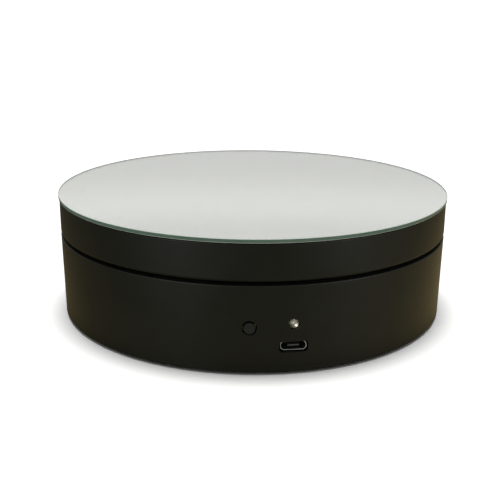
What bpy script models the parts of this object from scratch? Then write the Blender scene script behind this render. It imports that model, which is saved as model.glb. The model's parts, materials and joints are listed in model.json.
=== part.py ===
"""Motorised turntable display stand with a round mirror top.

A small DC motor drives the platter through four 4:1 gear stages. The platter hangs on the output
shaft at its hub, and its rim runs on three rollers sunk in the deck of the base. A cell in the base
feeds the motor through a control board that carries the button, the status LED and the socket.

Frame: the stand rests on z = 0 with its spin axis on +Z. The controls face -Y.
"""

import math

import bmesh
import bpy
from mathutils import Matrix, Vector

MM = 0.001

# Outline
GLASS_R = 69.0 * MM
GLASS_THICK = 1.3 * MM
GLASS_ARRIS = 0.15 * MM
GLASS_OVERHANG = 0.3 * MM
SIDES = 56
EDGE_ROUND = 0.8 * MM

# Clearances
FIT = 0.15 * MM
SEAT = 0.3 * MM
RUN_GAP = 0.95 * MM

# How far a cutter starts outside the face that it opens, and how far joined shapes run together
PAST = 1.0 * MM

# Platter
PLATTER_DEEP = 11.7 * MM
PLATTER_WALL = 2.0 * MM
PLATE_THICK = 2.0 * MM
RIM_WIDE = 1.2 * MM
TAPE_THICK = 0.6 * MM
TAPE_SLACK = 0.2 * MM
TAPE_INNER_R = 24.0 * MM
TAPE_FROM_RIM = 2.0 * MM
PLATTER_RIBS = 6
RIB_THICK = 1.4 * MM
RIB_DEEP = 1.8 * MM
RIB_FROM_TRACK = 2.0 * MM
HUB_R = 7.5 * MM
HUB_LIFT = 0.4 * MM
HUB_SINK = 1.2 * MM

# Rollers
ROLLERS = 3
TRACK_R = 50.0 * MM
TRACK_DEEP = 0.6 * MM
TRACK_ROOM = 0.5 * MM
ROLLER_R = 4.0 * MM
ROLLER_WIDE = 4.0 * MM
ROLLER_SINK = 1.5 * MM
ROLLER_LIFT = 0.1 * MM
ROLLER_EDGE = 0.4 * MM
PIN_R = 1.0 * MM
ROLLER_PIN_LONG = 9.0 * MM
WELL_WALL = 1.5 * MM
WELL_ROOM = 0.6 * MM

# Base
BASE_WALL = 2.2 * MM
BASE_DRAFT = 0.4 * MM
FOOT_PROUD = 0.8 * MM
COVER_RECESS = 0.8 * MM
COVER_THICK = 2.0 * MM
REBATE_WALL = 1.4 * MM
SHOULDER_THICK = 1.8 * MM
DECK_THICK = 2.0 * MM
PEDESTAL_INSET = 4.0 * MM
DECK_RIB_DEEP = 2.5 * MM
DECK_RIB_LONG = 15.0 * MM
DECK_RIB_ANGLES = (0.0, 68.0, 112.0, 180.0)

# Cover fixings
POST_R = 3.5 * MM
POST_FROM_WALL = 8.0 * MM
POST_FROM_STOP = 0.5 * MM
POST_GAP = 1.8 * MM
POST_RIB_UP = 4.0 * MM
SCREW_R = 1.5 * MM
SCREW_HEAD_R = 2.75 * MM
SCREW_HEAD_THICK = 1.6 * MM
SCREW_LONG = 10.0 * MM
SCREW_ROOM = 2.5 * MM
FEET = 4
FOOT_R = 6.0 * MM
FOOT_SINK = 0.5 * MM
FOOT_EDGE = 0.5 * MM
FOOT_FROM_WALL = 12.0 * MM

# Gear train
BIG_TEETH = 40
SMALL_TEETH = 10
FINE_MODULE = 0.6 * MM
COARSE_MODULE = 0.8 * MM
BACKLASH = 0.12 * MM
PRESSURE_ANGLE = math.radians(20)
STAGE_THICK = 2.2 * MM
OUTPUT_THICK = 3.4 * MM
LAYER_GAP = 0.3 * MM
WHEEL_HUB_R = 3.0 * MM
OUTPUT_HUB_R = 6.0 * MM
WHEEL_RIM_MODULES = 3
WEB_SHARE = 0.4
CASE_WALL = 1.6 * MM
CASE_ROOM = 0.8 * MM
CASE_FLOOR = 1.8 * MM
FLOOR_ROOM = 0.5 * MM
LID_ROOM = 0.4 * MM
LID_THICK = 1.8 * MM
PIN_SKIN = 0.6 * MM
EAR_R = 3.4 * MM
EAR_THICK = 2.0 * MM
EAR_DROP = 7.5 * MM
EAR_ROOT = 0.7
CASE_SCREW_R = 1.25 * MM
CASE_SCREW_HEAD_R = 2.3 * MM
CASE_SCREW_HEAD_THICK = 1.5 * MM
CASE_SCREW_LONG = 6.0 * MM

# Output shaft
SHAFT_R = 3.0 * MM
SHAFT_FLAT = 0.6 * MM
JOURNAL_R = 2.0 * MM
BUSH_R = 4.5 * MM
BUSH_FLANGE = 1.0 * MM
BUSH_FLANGE_THICK = 0.8 * MM
LID_BOSS_R = 6.4 * MM
HUB_WEB = 0.9 * MM
HUB_SCREW_R = 1.5 * MM
HUB_SCREW_HEAD_R = 2.9 * MM
HUB_SCREW_HEAD_THICK = 1.5 * MM
HUB_SCREW_LONG = 8.0 * MM

# Motor
MOTOR_R = 12.2 * MM
MOTOR_LONG = 12.3 * MM
MOTOR_ROOM = 1.6 * MM
CAN_WALL = 0.8 * MM
CAN_ROUND = 1.0 * MM
MOTOR_BOSS_R = 3.0 * MM
MOTOR_BOSS_LONG = 1.2 * MM
MOTOR_SHAFT_R = 1.0 * MM
MOTOR_SCREW_PITCH = 16.0 * MM
MOTOR_SCREW_R = 1.0 * MM
MOTOR_SCREW_HEAD_R = 1.9 * MM
MOTOR_SCREW_HEAD_THICK = 1.2 * MM
MOTOR_SCREW_LONG = 4.0 * MM
MAGNET_THICK = 1.4 * MM
MAGNET_ROOM = 2.6 * MM
END_CAP_THICK = 1.6 * MM
LUG_WIDE = 1.8 * MM
LUG_LONG = 2.4 * MM
LUG_PROUD = 0.8 * MM
LUG_PITCH = 8.0 * MM
LUG_OUT = 8.0 * MM
ARMATURE_GAP = 0.5 * MM
ARMATURE_FOOT = 1.4 * MM
ARMATURE_ROOM = 2.0 * MM
ARMATURE_HUB_R = 3.2 * MM
COLLAR_R = 2.4 * MM
POLES = 3
POLE_SPAN = 0.86
POLE_NECK = 2.6 * MM
POLE_SHOE = 1.6 * MM

# Controls, placed from the middle of the front wall and the base's lower edge
BUTTON_X = -6.6 * MM
BUTTON_UP = 14.5 * MM
LED_X = 6.8 * MM
LED_UP = 15.5 * MM
SOCKET_X = 6.8 * MM
SOCKET_UP = 8.3 * MM
BUTTON_R = 1.75 * MM
BUTTON_HOLE_R = 2.25 * MM
BUTTON_PROUD = 0.5 * MM
BUTTON_TRAVEL = 0.25 * MM
BUTTON_EDGE = 0.25 * MM
SWITCH_SIZE = 6.0 * MM
SWITCH_DEEP = 3.5 * MM
SWITCH_WELL = 1.2 * MM
LED_R = 1.5 * MM
LED_HOLE_R = 1.75 * MM
LED_PROUD = 0.4 * MM
LED_LONG = 5.3 * MM
LED_FLANGE = 0.4 * MM
LED_FLANGE_THICK = 1.0 * MM
LEAD_THICK = 0.5 * MM
LEAD_PITCH = 2.54 * MM
SOCKET_WIDE = 7.5 * MM
SOCKET_TALL = 2.45 * MM
SOCKET_METAL = 0.3 * MM
SOCKET_FLARE = 0.25 * MM
SOCKET_RECESS = 0.8 * MM
SOCKET_HOLE_WIDE = 8.9 * MM
SOCKET_HOLE_TALL = 3.5 * MM
SOCKET_HOLE_ROUND = 1.1 * MM
SOCKET_HOLE_DROP = 0.15 * MM
TONGUE_WIDE = 3.5 * MM
TONGUE_THICK = 0.5 * MM
TONGUE_DROP = 0.3 * MM
TONGUE_RECESS = 0.7 * MM
TONGUE_ROOT = 2.0 * MM

# Control board
BOARD_WIDE = 34.0 * MM
BOARD_THICK = 1.6 * MM
BOARD_FROM_WALL = 5.2 * MM
BOARD_FOOT_ROOM = 1.0 * MM
BOARD_END_ROOM = 0.6 * MM
RAIL_GRIP = 1.6 * MM
RAIL_WALL = 1.4 * MM
CHIP_WIDE = 5.0 * MM
CHIP_TALL = 4.0 * MM
CHIP_THICK = 1.5 * MM
CHIP_UP = 2.0 * MM
CONNECTOR_X = 9.0 * MM
CONNECTOR_SIZE = 6.0 * MM
CONNECTOR_TALL = 4.8 * MM
CONNECTOR_UP = 8.0 * MM
CONNECTOR_HOLE_DEEP = 2.0 * MM

# Cell
CELL_R = 9.25 * MM
CELL_LONG = 65.0 * MM
CELL_FROM_WALL = 26.05 * MM
CELL_EDGE = 0.4 * MM
CRIMP_UP = 2.5 * MM
CRIMP_DEEP = 0.5 * MM
NUB_R = 3.4 * MM
NUB_LONG = 0.8 * MM
TAB_WIDE = 8.0 * MM
TAB_THICK = 0.3 * MM
CRADLE_X = 21.0 * MM
CRADLE_THICK = 2.0 * MM
CRADLE_TALL = 7.0 * MM
CRADLE_LIP = 1.0 * MM

# Wiring: the cell's wires lie on a ring inside the posts, through these (angle, lift) bends
WIRE_R = 0.6 * MM
WIRE_PITCH = 2.5 * MM
WIRE_PLUGGED = 1.5 * MM
WIRE_FROM_POST = 6.0 * MM
WIRE_FROM_TAB = 6.0 * MM
WIRE_FROM_LUG = 3.0 * MM
WIRE_BENDS = ((16.0, 2.0 * MM), (-5.0, 0.0), (-29.0, 0.0), (-57.0, 1.0 * MM))
WIRE_LEAD = 2.0 * MM

# Heights, stacked up from the floor
BASE_BOTTOM = FOOT_PROUD
COVER_BOTTOM = BASE_BOTTOM + COVER_RECESS
COVER_TOP = COVER_BOTTOM + COVER_THICK
LEDGE_Z = COVER_TOP + SEAT
MOTOR_BOTTOM = COVER_TOP + MOTOR_ROOM
MOTOR_TOP = MOTOR_BOTTOM + MOTOR_LONG
CASE_BOTTOM = MOTOR_TOP + SEAT
CASE_INSIDE = CASE_BOTTOM + CASE_FLOOR
LAYER_1 = CASE_INSIDE + FLOOR_ROOM
LAYER_2 = LAYER_1 + STAGE_THICK + LAYER_GAP
LAYER_3 = LAYER_2 + STAGE_THICK + LAYER_GAP
LAYER_4 = LAYER_3 + STAGE_THICK + LAYER_GAP
LAYERS_TOP = LAYER_4 + OUTPUT_THICK
LID_BOTTOM = LAYERS_TOP + LID_ROOM
CASE_TOP = LID_BOTTOM - SEAT
LID_TOP = LID_BOTTOM + LID_THICK
DECK_BOTTOM = LID_TOP + SEAT
DECK_TOP = DECK_BOTTOM + DECK_THICK
ROLLER_Z = DECK_TOP - ROLLER_SINK
TRACK_Z = ROLLER_Z + ROLLER_R + ROLLER_LIFT
PLATE_BOTTOM = TRACK_Z + TRACK_DEEP
PLATE_TOP = PLATE_BOTTOM + PLATE_THICK
TAPE_BOTTOM = PLATE_TOP + TAPE_SLACK
GLASS_BOTTOM = TAPE_BOTTOM + TAPE_THICK + TAPE_SLACK
STAND_TOP = GLASS_BOTTOM + GLASS_THICK
RIM_TOP = GLASS_BOTTOM - SEAT
SKIRT_BOTTOM = RIM_TOP - PLATTER_DEEP
SHOULDER_TOP = SKIRT_BOTTOM - RUN_GAP
SHOULDER_BOTTOM = SHOULDER_TOP - SHOULDER_THICK
HUB_BOTTOM = DECK_TOP + HUB_LIFT
HUB_SEAT = PLATE_TOP - HUB_SINK
SHAFT_TOP = HUB_SEAT - HUB_WEB - SEAT
BUSH_TOP = HUB_BOTTOM - SEAT
LID_BOSS_TOP = BUSH_TOP - BUSH_FLANGE_THICK - FIT
PIN_TOP = LID_TOP - PIN_SKIN

# Radii, stepped in from the glass
BASE_R = GLASS_R - GLASS_OVERHANG
FOOT_EDGE_R = BASE_R - BASE_DRAFT
COVER_R = FOOT_EDGE_R - REBATE_WALL - SEAT
WALL_INNER_R = BASE_R - BASE_DRAFT / 2 - BASE_WALL
PEDESTAL_R = BASE_R - PEDESTAL_INSET
PEDESTAL_INNER_R = PEDESTAL_R - DECK_THICK
POST_RING_R = WALL_INNER_R - POST_FROM_WALL
FOOT_RING_R = WALL_INNER_R - FOOT_FROM_WALL
DECK_HOLE_R = LID_BOSS_R + SEAT
POST_BOTTOM = COVER_TOP + POST_GAP
CELL_Y = WALL_INNER_R - CELL_FROM_WALL

# Gear axes, from the output shaft at the origin
FINE_CENTRES = FINE_MODULE * (BIG_TEETH + SMALL_TEETH) / 2
COARSE_CENTRES = COARSE_MODULE * (BIG_TEETH + SMALL_TEETH) / 2
MOTOR_AT = (15.4 * MM, -21.3 * MM)
OUTPUT_AT = (0.0, 0.0)
FINE_WHEEL_R = FINE_MODULE * (BIG_TEETH / 2 + 1)
COARSE_WHEEL_R = COARSE_MODULE * (BIG_TEETH / 2 + 1)
EAR_ANGLES = (-12.0, 152.0, 262.0)

COLOURS = {
    "black_moulding": ((0.016, 0.017, 0.014), 0.42, 0.0),
    "mirror": ((0.86, 0.87, 0.85), 0.03, 1.0),
    "foam_tape": ((0.75, 0.74, 0.70), 0.8, 0.0),
    "white_gear": ((0.80, 0.78, 0.72), 0.45, 0.0),
    "steel": ((0.55, 0.55, 0.56), 0.28, 1.0),
    "zinc_screw": ((0.62, 0.62, 0.60), 0.32, 1.0),
    "bronze": ((0.55, 0.36, 0.16), 0.38, 1.0),
    "magnet": ((0.07, 0.07, 0.075), 0.6, 0.0),
    "circuit_board": ((0.02, 0.16, 0.07), 0.45, 0.0),
    "black_chip": ((0.02, 0.02, 0.022), 0.5, 0.0),
    "tinned_metal": ((0.72, 0.72, 0.70), 0.3, 1.0),
    "nickel": ((0.68, 0.66, 0.62), 0.25, 1.0),
    "cell_wrap": ((0.06, 0.22, 0.50), 0.35, 0.0),
    "white_plastic": ((0.78, 0.77, 0.72), 0.5, 0.0),
    "button_black": ((0.028, 0.028, 0.028), 0.5, 0.0),
    "clear_lens": ((0.86, 0.86, 0.84), 0.08, 0.0),
    "rubber": ((0.03, 0.03, 0.03), 0.85, 0.0),
    "red_wire": ((0.50, 0.02, 0.02), 0.45, 0.0),
    "black_wire": ((0.02, 0.02, 0.02), 0.45, 0.0),
}


def finish(name):
    """The Principled material of one finish, made once."""
    made = bpy.data.materials.get(name)
    if made:
        return made
    colour, roughness, metallic = COLOURS[name]
    made = bpy.data.materials.new(name)
    made.use_nodes = True
    shader = made.node_tree.nodes["Principled BSDF"]
    shader.inputs["Base Color"].default_value = (*colour, 1.0)
    shader.inputs["Roughness"].default_value = roughness
    shader.inputs["Metallic"].default_value = metallic
    return made


# Shapes, each returned as a bmesh in world coordinates

def ring_points(radius, sides, centre=(0.0, 0.0)):
    """Points on a circle in plan."""
    turns = (2 * math.pi * step / sides for step in range(sides))
    return [(centre[0] + radius * math.cos(a), centre[1] + radius * math.sin(a)) for a in turns]


def prism(outline, bottom, top):
    """An outline in plan, extruded from one height to another."""
    bm = bmesh.new()
    floor = bm.faces.new([bm.verts.new((x, y, bottom)) for x, y in outline])
    raised = bmesh.ops.extrude_face_region(bm, geom=[floor])["geom"]
    lifted = [part for part in raised if isinstance(part, bmesh.types.BMVert)]
    bmesh.ops.translate(bm, verts=lifted, vec=(0, 0, top - bottom))
    return bm


def rod(radius, bottom, top, centre=(0.0, 0.0), sides=16):
    return prism(ring_points(radius, sides, centre), bottom, top)


def block(low, high):
    """A box between two corners."""
    outline = [(low[0], low[1]), (high[0], low[1]), (high[0], high[1]), (low[0], high[1])]
    return prism(outline, low[2], high[2])


def turned(profile, sides, centre=(0.0, 0.0)):
    """A profile of (radius, height) points spun about a vertical axis.

    A profile that starts and ends on the axis is left open there. Any other is a closed loop.
    """
    bm = bmesh.new()
    verts = [bm.verts.new((radius, 0, height)) for radius, height in profile]
    edges = [bm.edges.new(pair) for pair in zip(verts, verts[1:])]
    if profile[0][0] > 0 or profile[-1][0] > 0:
        edges.append(bm.edges.new((verts[-1], verts[0])))
    bmesh.ops.spin(bm, geom=verts + edges, axis=(0, 0, 1), angle=2 * math.pi, steps=sides,
                   use_merge=True)
    bmesh.ops.remove_doubles(bm, verts=bm.verts, dist=1e-7)
    return moved(bm, (*centre, 0))


def hull_prism(circles, bottom, top, sides=16):
    """The rounded outline stretched round a set of (centre, radius) circles, extruded."""
    bm = bmesh.new()
    for centre, radius in circles:
        for x, y in ring_points(radius, sides, centre):
            bm.verts.new((x, y, bottom))
            bm.verts.new((x, y, top))
    made = bmesh.ops.convex_hull(bm, input=bm.verts)
    spare = [part for part in made["geom_interior"] + made["geom_unused"]
             if isinstance(part, bmesh.types.BMVert)]
    bmesh.ops.delete(bm, geom=list(set(spare)), context="VERTS")
    return bm


def moved(bm, vec):
    bmesh.ops.translate(bm, verts=bm.verts, vec=vec)
    return bm


def aimed(bm, at, axis):
    """Turns a shape drawn about +Z until that axis points along `axis`, and moves it to `at`."""
    turn = Vector((0, 0, 1)).rotation_difference(Vector(axis)).to_matrix().to_4x4()
    bm.transform(Matrix.Translation(at) @ turn)
    return bm


def swung(bm, angle):
    """Turns a shape about the spin axis."""
    bm.transform(Matrix.Rotation(angle, 4, "Z"))
    return bm


def arc(centre, radius, start, end, steps=2):
    """Points of a fillet in a profile, from one angle in degrees to another."""
    angles = [math.radians(start + (end - start) * step / steps) for step in range(steps + 1)]
    return [(centre[0] + radius * math.cos(a), centre[1] + radius * math.sin(a)) for a in angles]


# Objects

def face_outwards(bm):
    """Turns every face of a closed solid outwards."""
    bmesh.ops.recalc_face_normals(bm, faces=bm.faces)
    if bm.calc_volume(signed=True) < 0:
        bmesh.ops.reverse_faces(bm, faces=bm.faces)


def piece(name, bm, finish_name, origin=(0.0, 0.0, 0.0)):
    """A finished object whose origin lies at `origin`, with smooth round faces."""
    face_outwards(bm)
    bm.transform(Matrix.Translation(-Vector(origin)))
    mesh = bpy.data.meshes.new(name)
    bm.to_mesh(mesh)
    bm.free()
    mesh.materials.append(finish(finish_name))
    mesh.shade_smooth()
    mesh.set_sharp_from_angle(angle=math.radians(35))
    made = bpy.data.objects.new(name, mesh)
    made.location = origin
    bpy.context.scene.collection.objects.link(made)
    return made


def tool(host, bm):
    """A hidden shape that is joined to or cut from its host."""
    face_outwards(bm)
    mesh = bpy.data.meshes.new(host.name + "_tool")
    bm.to_mesh(mesh)
    bm.free()
    made = bpy.data.objects.new(host.name + "_tool", mesh)
    made.display_type = "WIRE"
    made.hide_render = True
    return made


def combine(host, operation, shapes):
    """Joins a set of shapes to the host, or cuts them from it, in one Boolean."""
    group = bpy.data.collections.new(f"{host.name}_{operation.lower()}")
    bpy.context.scene.collection.children.link(group)
    for shape in shapes:
        group.objects.link(tool(host, shape))
    step = host.modifiers.new(operation.title(), "BOOLEAN")
    step.operation = operation
    step.operand_type = "COLLECTION"
    step.collection = group
    step.solver = "EXACT"


def join(host, shapes):
    combine(host, "UNION", shapes)


def cut(host, shapes):
    combine(host, "DIFFERENCE", shapes)


# Platter

def platter_disc():
    """The skirted platter: rim and recess above, hub, roller track and ribs below."""
    inner = BASE_R - PLATTER_WALL
    edge = EDGE_ROUND
    track = ROLLER_WIDE / 2 + TRACK_ROOM
    profile = [
        (0, PLATE_BOTTOM),
        (TRACK_R - track, PLATE_BOTTOM),
        (TRACK_R - track, TRACK_Z),
        (TRACK_R + track, TRACK_Z),
        (TRACK_R + track, PLATE_BOTTOM),
        (inner, PLATE_BOTTOM),
        (inner, SKIRT_BOTTOM),
        *arc((BASE_R - edge, SKIRT_BOTTOM + edge), edge, -90, 0),
        *arc((BASE_R - RIM_WIDE / 3, RIM_TOP - RIM_WIDE / 3), RIM_WIDE / 3, 0, 90, 1),
        (BASE_R - RIM_WIDE, RIM_TOP),
        (BASE_R - RIM_WIDE, PLATE_TOP),
        (0, PLATE_TOP),
    ]
    disc = piece("platter_disc", turned(profile, SIDES), "black_moulding")
    added = [rod(HUB_R, HUB_BOTTOM, PLATE_TOP - PLATE_THICK / 2, sides=28)]
    for step in range(PLATTER_RIBS):
        angle = 2 * math.pi * (step + 0.5) / PLATTER_RIBS
        for start, end in ((HUB_R - PAST, TRACK_R - track - RIB_FROM_TRACK),
                           (TRACK_R + track + RIB_FROM_TRACK, inner + PLATTER_WALL / 2)):
            rib = block((start, -RIB_THICK / 2, PLATE_BOTTOM - RIB_DEEP),
                        (end, RIB_THICK / 2, PLATE_BOTTOM + PLATE_THICK / 2))
            added.append(swung(rib, angle))
    join(disc, added)
    cut(disc, [rod(HUB_SCREW_HEAD_R + SEAT, HUB_SEAT, PLATE_TOP + PAST, sides=20),
               rod(HUB_SCREW_R + FIT, SHAFT_TOP, PLATE_TOP, sides=12),
               prism(flatted(SHAFT_R + FIT, SHAFT_FLAT), HUB_BOTTOM - PAST, SHAFT_TOP + SEAT)])


def flatted(radius, flat):
    """A circle with one flat, as on a D-shaft. The flat faces +X."""
    half = math.acos((radius - flat) / radius)
    steps = 18
    angles = (half + (2 * math.pi - 2 * half) * step / steps for step in range(steps + 1))
    return [(radius * math.cos(a), radius * math.sin(a)) for a in angles]


def mirror_glass():
    arris = GLASS_ARRIS
    profile = [(0, GLASS_BOTTOM), (GLASS_R - arris, GLASS_BOTTOM), (GLASS_R, GLASS_BOTTOM + arris),
               (GLASS_R, STAND_TOP - arris), (GLASS_R - arris, STAND_TOP), (0, STAND_TOP)]
    piece("mirror_glass", turned(profile, SIDES), "mirror")


def adhesive_ring():
    outer = BASE_R - RIM_WIDE - TAPE_FROM_RIM
    top = TAPE_BOTTOM + TAPE_THICK
    profile = [(TAPE_INNER_R, TAPE_BOTTOM), (outer, TAPE_BOTTOM), (outer, top), (TAPE_INNER_R, top)]
    piece("adhesive_ring", turned(profile, 32), "foam_tape")


def output_shaft():
    """Journal below, gear seat, bearing length in the bush, and a D-end tapped for the hub screw."""
    step = CASE_INSIDE + FIT
    tapped = HUB_SCREW_R + FIT
    profile = [(0, CASE_BOTTOM + FIT), (JOURNAL_R, CASE_BOTTOM + FIT), (JOURNAL_R, step),
               (SHAFT_R, step), (SHAFT_R, SHAFT_TOP), (tapped, SHAFT_TOP),
               (tapped, SHAFT_TOP - HUB_SCREW_LONG), (0, SHAFT_TOP - HUB_SCREW_LONG - PAST)]
    shaft = piece("output_shaft", turned(profile, 20), "steel")
    for low, high in ((HUB_BOTTOM - FIT, SHAFT_TOP + PAST), (LAYER_4 - PAST, LAYERS_TOP + FIT)):
        cut(shaft, [block((SHAFT_R - SHAFT_FLAT, -SHAFT_R, low), (2 * SHAFT_R, SHAFT_R, high))])


def hub_screw():
    under = HUB_SEAT + FIT
    piece("hub_screw", screw_shape(HUB_SCREW_R - FIT, HUB_SCREW_HEAD_R, HUB_SCREW_HEAD_THICK,
                                   HUB_SCREW_LONG, (0, 0, under), (0, 0, 1)), "zinc_screw")


def screw_shape(shank_r, head_r, head_thick, length, under_head, towards_head):
    """A pan-head screw about its own axis. `under_head` is the seat of the head."""
    dome = head_thick * 0.35
    profile = [(0, -length), (shank_r, -length + shank_r), (shank_r, 0), (head_r, 0),
               (head_r, head_thick - dome), (head_r * 0.7, head_thick), (0, head_thick)]
    return aimed(turned(profile, 12), under_head, towards_head)


# Gears

def involute(angle):
    return math.tan(angle) - angle


def tooth_outline(teeth, module, phase, rounds):
    """The outline of an involute gear whose tooth 0 is centred on the angle `phase`."""
    pitch_r = module * teeth / 2
    root_r = pitch_r - 1.25 * module
    tip_r = pitch_r + module
    base_r = pitch_r * math.cos(PRESSURE_ANGLE)
    half_at_base = math.pi / (2 * teeth) - BACKLASH / (2 * pitch_r) + involute(PRESSURE_ANGLE)
    flank_from = max(base_r, root_r)
    flank = [flank_from + (tip_r - flank_from) * step / rounds for step in range(rounds + 1)]
    if base_r - root_r > 0.1 * module:
        flank.insert(0, root_r)
    halves = [half_at_base - involute(math.acos(min(1.0, base_r / r))) for r in flank]
    outline = []
    for tooth in range(teeth):
        centre = phase + 2 * math.pi * tooth / teeth
        rising = [(r, centre - half) for r, half in zip(flank, halves)]
        falling = [(r, centre + half) for r, half in zip(reversed(flank), reversed(halves))]
        outline += [(r * math.cos(a), r * math.sin(a)) for r, a in rising + falling]
    return outline


def toothed(teeth, module, phase, bottom, top, centre, rounds=1):
    return moved(prism(tooth_outline(teeth, module, phase, rounds), bottom, top), (*centre, 0))


def meshed_phase(driver_at, driver_phase, driver_teeth, at, teeth):
    """The phase that sets a gear's tooth space on the tooth of the gear that it meets."""
    line = math.atan2(at[1] - driver_at[1], at[0] - driver_at[0])
    share = driver_teeth * (line - driver_phase) / (2 * math.pi)
    return line + math.pi - 2 * math.pi / teeth * (0.5 - share)


def crossing(first, first_r, second, second_r):
    """The point at two given distances from two points, on the left of the line between them."""
    gap = math.dist(first, second)
    along = (first_r**2 - second_r**2 + gap**2) / (2 * gap)
    aside = math.sqrt(first_r**2 - along**2)
    ux, uy = (second[0] - first[0]) / gap, (second[1] - first[1]) / gap
    return (first[0] + along * ux - aside * uy, first[1] + along * uy + aside * ux)


def gear_places():
    """Axis of the three compound gears, from the motor to the output shaft."""
    gear_1 = (MOTOR_AT[0] - FINE_CENTRES, MOTOR_AT[1])
    gear_2 = (gear_1[0] - FINE_CENTRES, gear_1[1])
    gear_3 = crossing(gear_2, FINE_CENTRES, OUTPUT_AT, COARSE_CENTRES)
    return [gear_1, gear_2, gear_3]


def web_recess(bottom, hub_r, wheel_r, module, thick, centre):
    """The ring sunk in a wheel's lower face, which leaves a thin web between hub and rim."""
    rim_r = wheel_r - WHEEL_RIM_MODULES * module
    top = bottom + thick * WEB_SHARE
    profile = [(hub_r, bottom - PAST), (rim_r, bottom - PAST), (rim_r, top), (hub_r, top)]
    return turned(profile, 20, centre)


def compound_gear(number, at, layer, phase, small_module, small_top):
    """A 40-tooth wheel and a 10-tooth pinion moulded in one piece, running on its pin."""
    wheel_top = layer + STAGE_THICK
    gear = piece(f"gear_{number}", toothed(BIG_TEETH, FINE_MODULE, phase, layer, wheel_top, at),
                 "white_gear", (*at, layer))
    join(gear, [toothed(SMALL_TEETH, small_module, 0.0, layer + STAGE_THICK / 2, small_top, at)])
    cut(gear, [rod(PIN_R + FIT, layer - PAST, small_top + PAST, at, 12),
               web_recess(layer, WHEEL_HUB_R, FINE_WHEEL_R, FINE_MODULE, STAGE_THICK, at)])


def gear_train():
    """Motor pinion, three compound gears and the output gear, each meshed with the one before."""
    places = gear_places()
    tops = [LAYER_2 + STAGE_THICK, LAYER_3 + STAGE_THICK, LAYERS_TOP]
    layers = [LAYER_1, LAYER_2, LAYER_3]
    modules = [FINE_MODULE, FINE_MODULE, COARSE_MODULE]
    driver_at = MOTOR_AT
    for number, at in enumerate(places, 1):
        phase = meshed_phase(driver_at, 0.0, SMALL_TEETH, at, BIG_TEETH)
        compound_gear(number, at, layers[number - 1], phase, modules[number - 1], tops[number - 1])
        driver_at = at
        gear_pin(number, at)
    phase = meshed_phase(driver_at, 0.0, SMALL_TEETH, OUTPUT_AT, BIG_TEETH)
    output = piece("output_gear", toothed(BIG_TEETH, COARSE_MODULE, phase, LAYER_4, LAYERS_TOP,
                                          OUTPUT_AT), "white_gear")
    cut(output, [prism(flatted(SHAFT_R + FIT, SHAFT_FLAT), LAYER_4 - PAST, LAYERS_TOP + PAST),
                 web_recess(LAYER_4, OUTPUT_HUB_R, COARSE_WHEEL_R, COARSE_MODULE, OUTPUT_THICK,
                            OUTPUT_AT)])


def gear_pin(number, at):
    """A steel pin held in the case floor and in the lid."""
    piece(f"gear_pin_{number}", rod(PIN_R, CASE_BOTTOM + FIT, PIN_TOP, at, 14), "steel")


# Gearbox

def case_circles(room):
    """The circles that the gearbox outline is stretched round."""
    gear_1, gear_2, gear_3 = gear_places()
    return [(OUTPUT_AT, COARSE_WHEEL_R + room), (gear_1, FINE_WHEEL_R + room),
            (gear_2, FINE_WHEEL_R + room), (gear_3, FINE_WHEEL_R + room),
            (MOTOR_AT, MOTOR_SCREW_PITCH / 2 + MOTOR_SCREW_HEAD_R + room)]


def outline_reach(angle, circles):
    """How far the stretched outline reaches from the origin towards `angle`."""
    aim = Vector((math.cos(angle), math.sin(angle)))
    return max(Vector(centre).dot(aim) + radius for centre, radius in circles)


def ear_places():
    circles = case_circles(CASE_ROOM + CASE_WALL)
    places = []
    for degrees in EAR_ANGLES:
        angle = math.radians(degrees)
        reach = outline_reach(angle, circles) + EAR_R
        places.append((reach * math.cos(angle), reach * math.sin(angle)))
    return places


def ear_span():
    """Bottom and top of the ears that hang the gearbox from the deck."""
    top = DECK_BOTTOM - EAR_DROP
    return top - EAR_THICK, top


def gearbox_case():
    low, high = ear_span()
    case = piece("gearbox_case", hull_prism(case_circles(CASE_ROOM + CASE_WALL), CASE_BOTTOM,
                                            CASE_TOP), "black_moulding")
    ears = []
    for x, y in ear_places():
        inward = (x * EAR_ROOT, y * EAR_ROOT)
        ears.append(hull_prism([((x, y), EAR_R), (inward, EAR_R)], low, high, 12))
    join(case, ears)
    holes = [hull_prism(case_circles(CASE_ROOM), CASE_INSIDE, CASE_TOP + PAST)]
    below, above = CASE_BOTTOM - PAST, CASE_INSIDE + PAST
    holes += [rod(PIN_R + FIT, below, above, at, 14) for at in gear_places()]
    holes.append(rod(JOURNAL_R + FIT, below, above))
    holes.append(rod(MOTOR_BOSS_R + FIT, below, above, MOTOR_AT))
    holes += [rod(MOTOR_SCREW_R + FIT, below, above, at, 12) for at in motor_screw_places()]
    holes += [rod(CASE_SCREW_R + FIT, low - PAST, high + PAST, at, 12) for at in ear_places()]
    cut(case, holes)


def gearbox_lid():
    lid = piece("gearbox_lid", hull_prism(case_circles(CASE_ROOM + CASE_WALL), LID_BOTTOM,
                                          LID_TOP), "black_moulding")
    join(lid, [rod(LID_BOSS_R, LID_BOTTOM + LID_THICK / 2, LID_BOSS_TOP, sides=28)])
    holes = [rod(BUSH_R + FIT, LID_BOTTOM - PAST, LID_BOSS_TOP + PAST, sides=24)]
    holes += [rod(PIN_R + FIT, LID_BOTTOM - PAST, PIN_TOP + FIT, at, 14) for at in gear_places()]
    cut(lid, holes)


def shaft_bush():
    """The flanged bronze bush that guides the output shaft."""
    bore = SHAFT_R + FIT
    flange = BUSH_R + BUSH_FLANGE
    under = BUSH_TOP - BUSH_FLANGE_THICK
    profile = [(bore, LID_BOTTOM), (BUSH_R, LID_BOTTOM), (BUSH_R, under), (flange, under),
               (flange, BUSH_TOP), (bore, BUSH_TOP)]
    piece("shaft_bush", turned(profile, 20), "bronze")


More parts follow.
